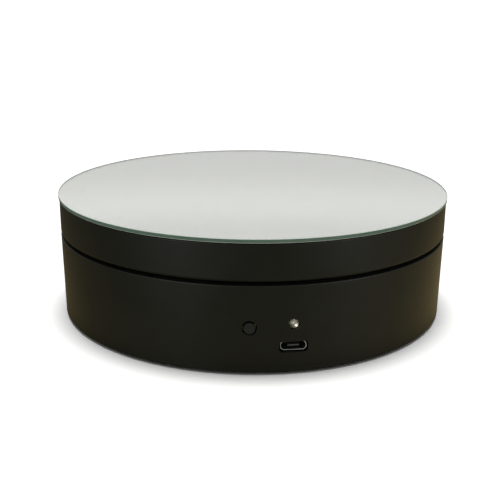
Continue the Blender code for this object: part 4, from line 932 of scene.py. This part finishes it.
def screws():
    """Every screw: its nodes, shank and head radii, head's thickness, and which way it faces."""
    for name, nodes, shank_r, head_r, thick, way in (
            ("cover_fixing", numbered("cover_screw", 4), 1.5, 2.75, 1.6, -1),
            ("case_fixing", numbered("gearbox_screw", 3), 1.25, 2.3, 1.5, -1),
            ("motor_fixing", numbered("motor_screw", 2), 1.0, 1.9, 1.2, 1),
            ("hub_fixing", ["hub_screw"], 1.35, 2.9, 1.5, 1)):
        for number, node in enumerate(nodes, 1):
            screw(f"{name}_{number}", node, shank_r * MM, head_r * MM, thick * MM, way,
                  0.4 + number)


# Controls

def button():
    """The switch's stem: a plain peg with a rounded tip."""
    low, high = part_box("button_stem")
    edge = 0.25 * MM
    long = high.y - low.y
    profile = [(0, 0), (STEM_R, 0), *arc((STEM_R - edge, long - edge), edge, 0, 90),
               (STEM_R * 0.6, long - 0.02 * MM), (0, long - 0.05 * MM)]
    stand_in("button_cap", "button_stem",
             aimed(lathe(profile, 64), (BUTTON_X, high.y, BUTTON_Z), (0, -1, 0)))


def status_light():
    """A clear domed lens over a stamped cup with the die in it."""
    low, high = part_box("led_lens")
    radius, flange, collar = 1.5 * MM, (high.x - low.x) / 2, 1.0 * MM
    long = high.y - low.y
    dome = [(0, 0), (flange, 0), (flange, collar), (radius, collar),
            *arc((0, long - radius), radius, 0, 90, 14)]
    dome[-1] = (0, long)
    foot = (LED_X, high.y, LED_Z)
    stand_in("led_dome", "led_lens", aimed(lathe(dome, 64), foot, (0, -1, 0)))
    rim, rim_r, post_r, post_foot = long - 1.3 * MM, 1.45 * MM, 0.25 * MM, 0.9 * MM
    rim_top, floor = rim + 0.06 * MM, rim - 0.62 * MM
    cup = [(0, post_foot), (post_r, post_foot), (post_r, rim - 1.0 * MM), (rim_r, rim),
           (rim_r, rim_top), (rim_r - 0.05 * MM, rim_top), (0.55 * MM, floor), (0, floor)]
    piece("led_cup", "base", "tinned_metal", aimed(lathe(cup, 48), foot, (0, -1, 0)), DULL_CUP)
    half = 0.15 * MM
    floor_y = high.y - floor
    piece("led_die", "base", "tinned_metal",
          block((LED_X - half, floor_y - 0.2 * MM, LED_Z - half),
                (LED_X + half, floor_y, LED_Z + half), 0.02 * MM))


def askew(bm):
    """Let down and turned a little in the opening, the way a soldered socket sits."""
    turn, drop = -0.027, 0.1 * MM
    bmesh.ops.rotate(bm, verts=bm.verts, cent=(SOCKET_X, 0.0, SOCKET_Z),
                     matrix=Matrix.Rotation(turn, 3, "Y"))
    return moved(bm, (0.0, 0.0, -drop))


def socket():
    """The stamped shell with its flared mouth, the tongue and its five contacts."""
    low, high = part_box("usb_shell")
    half, up, flare, sheet = 3.75 * MM, 1.225 * MM, 0.25 * MM, 0.2 * MM
    mouth = low.y + 0.5 * MM
    long = high.y - mouth
    cut_low, cut_high = 0.62 * up, 0.68 * up
    outline = ((half - cut_low, -up), (half, cut_low - up), (half, up - cut_high),
               (half - cut_high, up), (cut_high - half, up), (-half, up - cut_high),
               (-half, cut_low - up), (cut_low - half, -up))
    stations = ((0.0, 0.0), (long * 0.4, 0.0), (long * 0.6, 0.5 * flare),
                (long - 1.4 * flare, 0.6 * flare), (long - 0.6 * flare, flare), (long, flare))
    bm = lofted([[(x + math.copysign(grow, x), -deep, z + math.copysign(grow, z))
                  for x, z in outline] for deep, grow in stations])
    bmesh.ops.recalc_face_normals(bm, faces=bm.faces)
    lengthwise = [e for e in bm.edges if abs(e.verts[0].co.y - e.verts[1].co.y) > 0.02 * MM]
    eased_edges(bm, lengthwise, 0.35 * MM, 4)
    if sum(face.normal.dot(face.calc_center_median()) for face in bm.faces) < 0:
        bmesh.ops.reverse_faces(bm, faces=bm.faces)
    made = stand_in("socket_shell", "usb_shell", askew(moved(bm, (SOCKET_X, high.y, SOCKET_Z))))
    for own_finish in (TIN_PAINTED_SHADE, TIN_PAINTED_SHADE, LIP_PAINTED_HIGHLIGHT):
        made.data.materials.append(own_finish)
    # Near the mouth the shell's outside and inside take painted shade and the lip's rim a painted
    # highlight, except along the top, where the rim takes painted shade; further back the outside
    # keeps the plain tin and the inside painted shade.
    bright, painted_shade_slot, painted_shade_reach = 0, 1, mouth + 1.0 * MM
    for face in made.data.polygons:
        at = face.center
        top = at.z > SOCKET_Z and abs(at.x - SOCKET_X) < half - cut_high
        face.material_index = painted_shade_slot if at.y < painted_shade_reach and not top else bright
    # The inside takes the slot after its outer face's, and the lip the second one after
    wall = made.modifiers.new("sheet", "SOLIDIFY")
    wall.thickness = sheet
    wall.offset = -1.0
    wall.material_offset = 1
    wall.material_offset_rim = 2
    made.modifiers.move(1, 0)

    low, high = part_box("usb_tongue")
    blade_half = 1.75 * MM
    blade_top = SOCKET_Z + up - 0.98 * MM
    blade_bottom = blade_top - 0.5 * MM
    blade = block((SOCKET_X - blade_half, low.y, blade_bottom),
                  (SOCKET_X + blade_half, high.y, blade_top), 0.08 * MM)
    root = block((low.x, high.y - 1.7 * MM, low.z), high, 0.1 * MM)
    stand_in("socket_tongue", "usb_tongue", combined("tongue", askew(root), [askew(blade)]),
             TONGUE)
    strips = []
    strip_half, pitch = 0.17 * MM, 0.65 * MM
    for step in range(-2, 3):
        x = SOCKET_X + step * pitch
        strips.append(block((x - strip_half, low.y + 0.25 * MM, blade_bottom - 0.06 * MM),
                            (x + strip_half, high.y - 0.5 * MM, blade_bottom + 0.08 * MM),
                            0.02 * MM))
    piece("socket_contacts", "base", "tinned_metal", askew(gathered(strips)), GOLD)


# Works inside the base

def eased(node, edge_round=0.0):
    """A copy of a node's solid with its roomy sharp edges eased, which stands for it."""
    flat, sharp, room = math.radians(0.6), math.radians(38), 2.2 * edge_round
    bm = bmesh.new()
    bm.from_mesh(frame["nodes"][node].data)
    bmesh.ops.remove_doubles(bm, verts=bm.verts, dist=2e-6)
    bmesh.ops.dissolve_limit(bm, angle_limit=flat, verts=bm.verts, edges=bm.edges)
    if edge_round:
        roomy = {vert for vert in bm.verts
                 if all(edge.calc_length() > room for edge in vert.link_edges)}
        eased_edges(bm, [edge for edge in bm.edges if edge.calc_face_angle(0.0) > sharp
                         and all(vert in roomy for vert in edge.verts)], edge_round)
    return stand_in(f"{node}_eased", node, bm)


def eased_all(rounds):
    """Eases several nodes, each by its own radius in millimetres."""
    for node, edge_round in rounds.items():
        eased(node, edge_round * MM)


def pin(node, radius, axis=(0, 0, 1), length=None):
    """A plain steel pin with chamfered ends."""
    low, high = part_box(node)
    half = (length or high.z - low.z) / 2
    chamfer = 0.15 * MM
    profile = [(0, -half), (radius - chamfer, -half), (radius, chamfer - half),
               (radius, half - chamfer), (radius - chamfer, half), (0, half)]
    stand_in(f"{node}_turned", node, aimed(lathe(profile, 40), middle(node), axis))


def ring_profile(bore, outer, low, high, edge):
    """Section of a ring whose outer edges are rounded and whose bore is chamfered."""
    half = edge / 2
    return [(bore, low + half), (bore + half, low),
            *arc((outer - edge, low + edge), edge, -90, 0, 4),
            *arc((outer - edge, high - edge), edge, 0, 90, 4),
            (bore + half, high), (bore, high - half)]


def tape():
    """The foam ring that holds the mirror."""
    low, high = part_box("adhesive_ring")
    stand_in("foam_tape_ring", "adhesive_ring",
             lathe(ring_profile(24.0 * MM, high.x, low.z, high.z, 0.1 * MM), 192))


def drive():
    """Gears, their case, pins, bush and output shaft."""
    eased_all({"gear_1": 0.06, "gear_2": 0.06, "gear_3": 0.06, "output_gear": 0.08,
               "motor_pinion": 0.04, "gearbox_case": 0.2, "gearbox_lid": 0.2})
    for node in numbered("gear_pin", 3):
        pin(node, 1.0 * MM)
    low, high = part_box("shaft_bush")
    bore, body, collar, edge = 3.15 * MM, 4.5 * MM, 5.5 * MM, 0.2 * MM
    flange = high.z - 0.8 * MM
    profile = [(bore, low.z + edge), (bore + edge, low.z), (body - edge, low.z),
               (body, low.z + edge), (body, flange), (collar, flange),
               *arc((collar - edge, high.z - edge), edge, 0, 90, 4),
               (bore + edge, high.z), (bore, high.z - edge)]
    stand_in("shaft_bush_turned", "shaft_bush", lathe(profile, 72))

    low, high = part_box("output_shaft")
    gear_low, gear_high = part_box("output_gear")
    step, chamfer = low.z + 1.8 * MM, 0.15 * MM
    radius, journal, tapped = 3.0 * MM, 2.0 * MM, 1.5 * MM
    profile = [(0, low.z), (journal - chamfer, low.z), (journal, low.z + chamfer),
               (journal, step), (radius - chamfer, step), (radius, step + chamfer),
               (radius, high.z - edge), (radius - edge, high.z),
               (tapped + edge, high.z), (tapped, high.z - edge),
               (tapped, high.z - 8.0 * MM), (0, high.z - 9.0 * MM)]
    flat = 2.4 * MM
    flats = [block((flat, -radius, start), (2 * radius, radius, end))
             for start, end in ((DECK_TOP + 0.25 * MM, high.z + PAST),
                                (gear_low.z - PAST, gear_high.z + 0.15 * MM))]
    stand_in("output_shaft_turned", "output_shaft",
             combined("shaft", lathe(profile, 64), cut=flats))


def rollers():
    """Three nylon rollers with rounded rims, each on its pin."""
    half_wide = 2.0 * MM
    for number, node in enumerate(numbered("roller", 3), 1):
        outward = Vector((*middle(node).xy, 0)).normalized()
        shape = lathe(ring_profile(1.15 * MM, 4.0 * MM, -half_wide, half_wide, 0.4 * MM), 72)
        stand_in(f"{node}_turned", node, aimed(shape, middle(node), outward))
        pin(f"roller_pin_{number}", 1.0 * MM, outward, 9.0 * MM)


def motor():
    """The can with its boss, the magnet ring, the end bell with two lugs, and the wound core."""
    low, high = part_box("motor_can")
    x, y, _ = middle("motor_can")
    outer, inner, bore, liner = 12.2 * MM, 11.4 * MM, 1.15 * MM, 11.25 * MM
    edge, small_edge, shoulder_edge = 0.15 * MM, 0.2 * MM, 1.0 * MM
    top = high.z - 1.2 * MM
    under_top = top - 0.8 * MM
    profile = [(inner, low.z), (outer - edge, low.z), (outer, low.z + edge),
               *arc((outer - shoulder_edge, top - shoulder_edge), shoulder_edge, 0, 90),
               (3.0 * MM, top), *arc((2.8 * MM, high.z - small_edge), small_edge, 0, 90, 3),
               (bore, high.z), (bore, under_top), (inner, under_top)]
    holes = [rod(bore, under_top - 0.8 * MM, top + PAST, (x, y + side * 8.0 * MM))
             for side in (-1, 1)]
    stand_in("motor_can_drawn", "motor_can",
             combined("can", lathe(profile, 96, (x, y)), cut=holes))

    low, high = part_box("motor_magnet")
    stand_in("motor_magnet_ring", "motor_magnet",
             lathe(ring_profile(9.85 * MM, liner, low.z, high.z, 0.2 * MM), 96, (x, y)))
    low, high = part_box("motor_end_cap")
    bell_low = low.z + 0.8 * MM
    stand_in("motor_end_bell", "motor_end_cap",
             lathe(ring_profile(bore, liner, bell_low, high.z, 0.3 * MM), 96, (x, y)))
    lugs = [block((x + lug - 0.9 * MM, y - 9.2 * MM, low.z),
                  (x + lug + 0.9 * MM, y - 6.8 * MM, bell_low - 0.02 * MM), 0.12 * MM)
            for lug in (-4.0 * MM, 4.0 * MM)]
    piece("motor_lugs", "base", "tinned_metal", gathered(lugs))

    eased("motor_armature", 0.08 * MM)
    pin("motor_shaft", 1.0 * MM)
    low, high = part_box("motor_armature")
    stack_low = low.z + 1.1 * MM
    wound, snug = 0.85 * MM, 0.02 * MM
    coils = []
    for number in range(3):
        coil = block((3.6 * MM, -2.7 * MM, stack_low - wound),
                     (7.5 * MM, 2.7 * MM, high.z + wound), 0.6 * MM)
        neck = block((3.0 * MM, -1.32 * MM, stack_low - snug), (8.0 * MM, 1.32 * MM, high.z + snug))
        bm = bmesh.new()
        bm.from_mesh(combined("coil", coil, cut=[neck]))
        coils.append(moved(swung(bm, 2 * math.pi * number / 3), (x, y, 0)))
    piece("motor_windings", "rotor", "bronze", gathered(coils),
          finish("winding_wire", winding_wire, (x, y)))


def cell():
    """The cell's steel can and nub in a shrink sleeve that turns in over both ends."""
    low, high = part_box("battery_cell")
    at, half, radius = middle("battery_cell"), (high.x - low.x) / 2, (high.z - low.z) / 2
    shoulder = half - 0.8 * MM
    edge, skin = 0.4 * MM, 0.12 * MM
    groove, deep = shoulder - 2.5 * MM, 0.5 * MM
    fold, inner = radius - 1.3 * MM, radius - 0.65 * MM
    inside_low, inside_high = skin - half, shoulder - skin
    sleeve = [(fold, -half), *arc((radius - edge, edge - half), edge, -90, 0, 4),
              (radius, groove - 2 * deep), (radius - 0.35 * deep, groove - 0.7 * deep),
              (radius - deep, groove), (radius - 0.35 * deep, groove + 0.7 * deep),
              (radius, groove + 1.6 * deep),
              *arc((radius - edge, shoulder - edge), edge, 0, 90, 4), (fold, shoulder),
              (fold, inside_high), (inner, inside_high), (inner, inside_low), (fold, inside_low)]
    stand_in("cell_sleeve", "battery_cell", aimed(lathe(sleeve, 96), at, (1, 0, 0)))
    body, nub = inner - 0.02 * MM, 3.2 * MM
    steel = [(0, inside_low), (body, inside_low), (body, inside_high), (4.4 * MM, inside_high),
             (nub + 0.4 * MM, shoulder + 0.1 * MM), (nub + 0.2 * MM, half - 0.2 * MM),
             (nub, half), (0, half)]
    piece("cell_can", "base", "nickel", aimed(lathe(steel, 96), at, (1, 0, 0)))
    eased_all({"battery_tab_plus": 0.06, "battery_tab_minus": 0.06})


def wires():
    """Each wire as one round, smooth run."""
    for node in ("battery_wire_red", "battery_wire_black", "motor_wire_red", "motor_wire_black"):
        made = eased(node)
        rounder = made.modifiers.new("round", "SUBSURF")
        rounder.levels = rounder.render_levels = 1
        made.modifiers.move(1, 0)


def bent_strip(points, wide, thick, z):
    """A strip of sheet bent through (x, y) points, `wide` along Z."""
    bm = bmesh.new()
    verts = [bm.verts.new((x, y, z - wide / 2)) for x, y in points]
    edges = [bm.edges.new(pair) for pair in zip(verts, verts[1:])]
    drawn = bmesh.ops.extrude_edge_only(bm, edges=edges)["geom"]
    bmesh.ops.translate(bm, verts=[part for part in drawn if isinstance(part, bmesh.types.BMVert)],
                        vec=(0, 0, wide))
    bmesh.ops.recalc_face_normals(bm, faces=bm.faces)
    bmesh.ops.solidify(bm, geom=bm.faces[:], thickness=thick)
    return face_outwards(bm)


# The board's small parts in mm: length, width and thickness, then the x and z of each one's middle
SMALL_PARTS = (
    (2.0, 1.25, 0.6, ((-6.5, 23.4), (-3.2, 23.9), (4.0, 23.4), (12.4, 18.0), (0.0, 11.8),
                      (-8.8, 7.4), (-12.6, 7.4))),
    (2.0, 1.25, 0.9, ((0.4, 23.9), (0.0, 14.6))),
    (3.2, 1.6, 0.7, ((7.6, 23.4), (-12.6, 18.2), (0.2, 7.4))),
    (1.6, 0.8, 0.5, ((-6.2, 20.6), (6.4, 20.4), (6.4, 18.6))),
)


def chip_legs(face):
    """Four gull-wing legs on each side of the chip."""
    chip_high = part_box("control_chip")[1]
    mid_z = middle("control_chip").z
    legs = []
    for side in (-1, 1):
        path = [(side * (chip_high.x + out * MM), face + up * MM)
                for out, up in ((-0.05, 0.85), (0.30, 0.85), (0.42, 0.16), (1.0, 0.16))]
        for step in range(4):
            legs.append(bent_strip(path, 0.35 * MM, 0.12 * MM, mid_z + (step - 1.5) * 0.95 * MM))
    piece("chip_legs", "base", "tinned_metal", gathered(legs))


def small_parts(face):
    """The chip resistors and capacitors with their tinned ends, and the coil."""
    bodies, ends = [], []
    past = 0.02 * MM
    for *sizes, places in SMALL_PARTS:
        long, wide, tall = (size * MM for size in sizes)
        end = long * 0.2
        for x, z in places:
            left, low = x * MM - long / 2, z * MM - wide / 2
            bodies.append(block((left + end, face + past, low),
                                (left + long - end, face + tall, low + wide), 0.04 * MM))
            for start in (left, left + long - end):
                ends.append(block((start, face, low - past),
                                  (start + end, face + tall + past, low + wide + past), 0.05 * MM))
    bodies.append(block((-14.4 * MM, face, 20.8 * MM), (-10.4 * MM, face + 1.8 * MM, 24.8 * MM),
                        0.4 * MM))
    piece("board_small_parts", "base", "black_chip", gathered(bodies))
    piece("board_part_ends", "base", "tinned_metal", gathered(ends))


def board_parts():
    """The chip and its legs, the small parts, a coil and a capacitor, connectors and joints."""
    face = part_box("control_board")[1].y
    eased_all({"control_chip": 0.1, "battery_connector": 0.15, "motor_connector": 0.15,
               "tact_switch": 0.15, "led_lead_1": 0.06, "led_lead_2": 0.06})
    chip_legs(face)
    small_parts(face)
    radius = 2.0 * MM
    can = lathe([(0, 0.3 * MM), (radius, 0.3 * MM), (radius, 0.9 * MM), (1.85 * MM, 1.1 * MM),
                 (radius, 1.3 * MM), *arc((1.8 * MM, 4.2 * MM), 0.2 * MM, 0, 90, 4),
                 (0, 4.4 * MM)], 48)
    piece("board_capacitor", "base", "tinned_metal",
          aimed(can, (12.4 * MM, face, 22.6 * MM), (0, 1, 0)))
    joints = []
    for middle_x, z, apart in ((LED_X, LED_Z, 1.27), (BUTTON_X, BUTTON_Z + 2.25 * MM, 3.25),
                               (SOCKET_X, SOCKET_Z - 2.4 * MM, 3.6)):
        for side in (-1, 1):
            cone = lathe([(0, 0), (0.7 * MM, 0), (0.42 * MM, 0.22 * MM), (0.28 * MM, 0.6 * MM),
                          (0.2 * MM, 0.72 * MM), (0, 0.75 * MM)], 20)
            joints.append(aimed(cone, (middle_x + side * apart * MM, face, z), (0, 1, 0)))
    piece("solder_joints", "base", "tinned_metal", gathered(joints))


def dress_nodes():
    """Gives every carried-over node its finish."""
    for node in frame["nodes"].values():
        for slot in node.material_slots:
            key = slot.material.name.split(".")[0]
            slot.material = FINISHES[key]
            node["maker_slot"] = key


# Stage

# How bright the studio's walls look in a reflection, by the height of the view above the horizon
SWEEP = [(place, (level, level, level * 0.985)) for place, level in
         ((0.0, 0.60), (0.16, 0.70), (0.19, 0.72), (0.206, 0.736), (0.218, 0.767), (0.229, 0.81),
          (0.24, 0.836), (0.251, 0.831), (0.262, 0.78), (0.273, 0.735), (0.285, 0.745),
          (0.45, 0.86), (1.0, 0.80))]


def kinds_of_ray(start):
    """Whether a ray comes straight from the camera, off gloss, or through glass."""
    return outputs_of(start.node("ShaderNodeLightPath"), "Is Camera Ray", "Is Glossy Ray",
                      "Is Transmission Ray")


def floor():
    """The pale floor: white to the eye; to gloss it shows a painted reflection, a warm tone near the
    stand that is dimmer towards -X.
    """
    bm = bmesh.new()
    bmesh.ops.create_circle(bm, cap_ends=True, segments=96, radius=9.0)
    made = placed("floor", to_mesh("floor", bm))
    paper, start = new_material("floor_paper")
    camera_ray, gloss_ray, glass_ray = kinds_of_ray(start)
    place = coordinates(start)
    x, _, _ = parts_of(place)
    far = vector_math("LENGTH", place, output="Value")
    # Painted reflection for the stand's gloss: warm near the stand, darker further out, and dimmer
    # towards -X, the stand's left from the front.
    painted_reflection_tone = mixed(far.rise(0.085, 0.20), (0.84, 0.65, 0.30), (0.36, 0.28, 0.14))
    painted_reflection_tone = painted_reflection_tone.node("ShaderNodeVectorMath", {"operation": "SCALE"},
                     {0: painted_reflection_tone, "Scale": 0.42 + 0.58 * x.rise(-0.12, 0.05)})
    lit = start.node("ShaderNodeBsdfDiffuse",
                     inputs={"Color": mixed(gloss_ray, (0.80, 0.78, 0.74), painted_reflection_tone)})
    bright = start.node("ShaderNodeBsdfDiffuse", inputs={"Color": (1.26, 1.26, 1.25, 1.0)})
    shown = start.node("ShaderNodeMixShader",
                       inputs={0: camera_ray.math("MAXIMUM", glass_ray), 1: lit, 2: bright})
    start.node("ShaderNodeOutputMaterial", inputs={"Surface": shown})
    made.data.materials.append(paper)


def studio():
    """The world: white behind the stand, the sweep in reflections, and a soft even fill."""
    world = bpy.data.worlds.new("studio")
    bpy.context.scene.world = world
    world.use_nodes = True
    world.node_tree.nodes.clear()
    start = Signal(world.node_tree)
    camera_ray, gloss_ray, glass_ray = kinds_of_ray(start)
    mirrored = gloss_ray.math("MAXIMUM", glass_ray)
    height = parts_of(start.node("ShaderNodeTexCoord", output="Generated"))[2]
    sweep = height.node("ShaderNodeValToRGB", {"stops": SWEEP}, {"Fac": height})
    tone = mixed(mirrored * (1.0 - camera_ray), (1.0, 1.0, 1.0), sweep)
    strength = 0.25 + 0.75 * camera_ray.math("MAXIMUM", mirrored)
    sky = start.node("ShaderNodeBackground", inputs={"Color": tone, "Strength": strength})
    start.node("ShaderNodeOutputWorld", inputs={"Surface": sky})


def chosen(name, pieces):
    """A collection of pieces for a lamp to light, or to be shaded by."""
    group = bpy.data.collections.new(name)
    for title in pieces:
        group.objects.link(bpy.data.objects[title])
    return group


def gloss_lamp(name, place, way, power, size, receivers, blockers=None):
    """A lamp that looks back along `way` and shows only as gloss on its receivers."""
    lamp = bpy.data.lights.new(name, "AREA")
    lamp.shape = "RECTANGLE" if len(size) == 2 else "DISK"
    lamp.size = size[0]
    lamp.size_y = size[-1]
    lamp.energy = power
    made = placed(name, lamp)
    made.location = place
    made.rotation_euler = Vector(way).to_track_quat("Z", "Y").to_euler()
    made.visible_diffuse = False
    made.visible_camera = False
    made.visible_transmission = False
    made.light_linking.receiver_collection = receivers
    if blockers:
        made.light_linking.blocker_collection = blockers


def lamps():
    """The soft overhead light, the wall's two sheen strips and the small light's sparkle."""
    lamp = bpy.data.lights.new("overhead", "SUN")
    lamp.energy = 2.36
    lamp.angle = math.radians(22)
    overhead = placed("overhead", lamp)
    overhead.rotation_euler = (math.radians(-4.5), 0.0, 0.0)
    overhead.visible_glossy = False
    overhead.visible_transmission = False

    sheen = chosen("sheen", ("base_moulding", "platter"))
    for name, azimuth in (("left_strip", -43.0), ("right_strip", 49.0)):
        around = math.radians(azimuth)
        way = Vector((math.sin(around), -math.cos(around), 0.0))
        gloss_lamp(name, 0.8 * way + Vector((0, 0, 0.25)), way, 7.0, (0.28, 0.50), sheen)
    sparkle = chosen("sparkle", ("led_dome", "led_cup"))
    shade = chosen("shade", ("led_cup",))
    for name, way, power in (("high_catch", (-0.30, -0.10, 0.95), 1.3),
                             ("left_catch", (-0.63, -0.53, 0.57), 2.4)):
        gloss_lamp(name, 0.5 * Vector(way), way, power, (0.16,), sparkle, shade)


def camera():
    """A long lens a little above the stand, turned slightly to its left."""
    lens = bpy.data.cameras.new("camera")
    lens.lens = 62.4
    lens.sensor_width = 36.0
    made = placed("camera", lens)
    bpy.context.scene.camera = made
    azimuth, elevation = math.radians(-5.0), math.radians(12.90)
    distance = 4.564 * GLASS_R
    back = Vector((math.sin(azimuth) * math.cos(elevation),
                   -math.cos(azimuth) * math.cos(elevation), math.sin(elevation)))
    pan, tilt, roll = azimuth + 0.0027, math.radians(72.83), 0.0077
    turn = Matrix.Rotation(pan, 4, "Z") @ Matrix.Rotation(tilt, 4, "X") @ Matrix.Rotation(roll, 4, "Z")
    made.matrix_world = Matrix.Translation(Vector((0, 0, STAND_TOP)) + back * distance) @ turn


# Build

for make in (camera, dress_nodes, mirror, platter, base, cover, feet, screws, button, status_light,
             socket, tape, drive, rollers, motor, cell, wires, board_parts, floor, studio, lamps):
    make()
bpy.context.scene.view_settings.view_transform = "Standard"
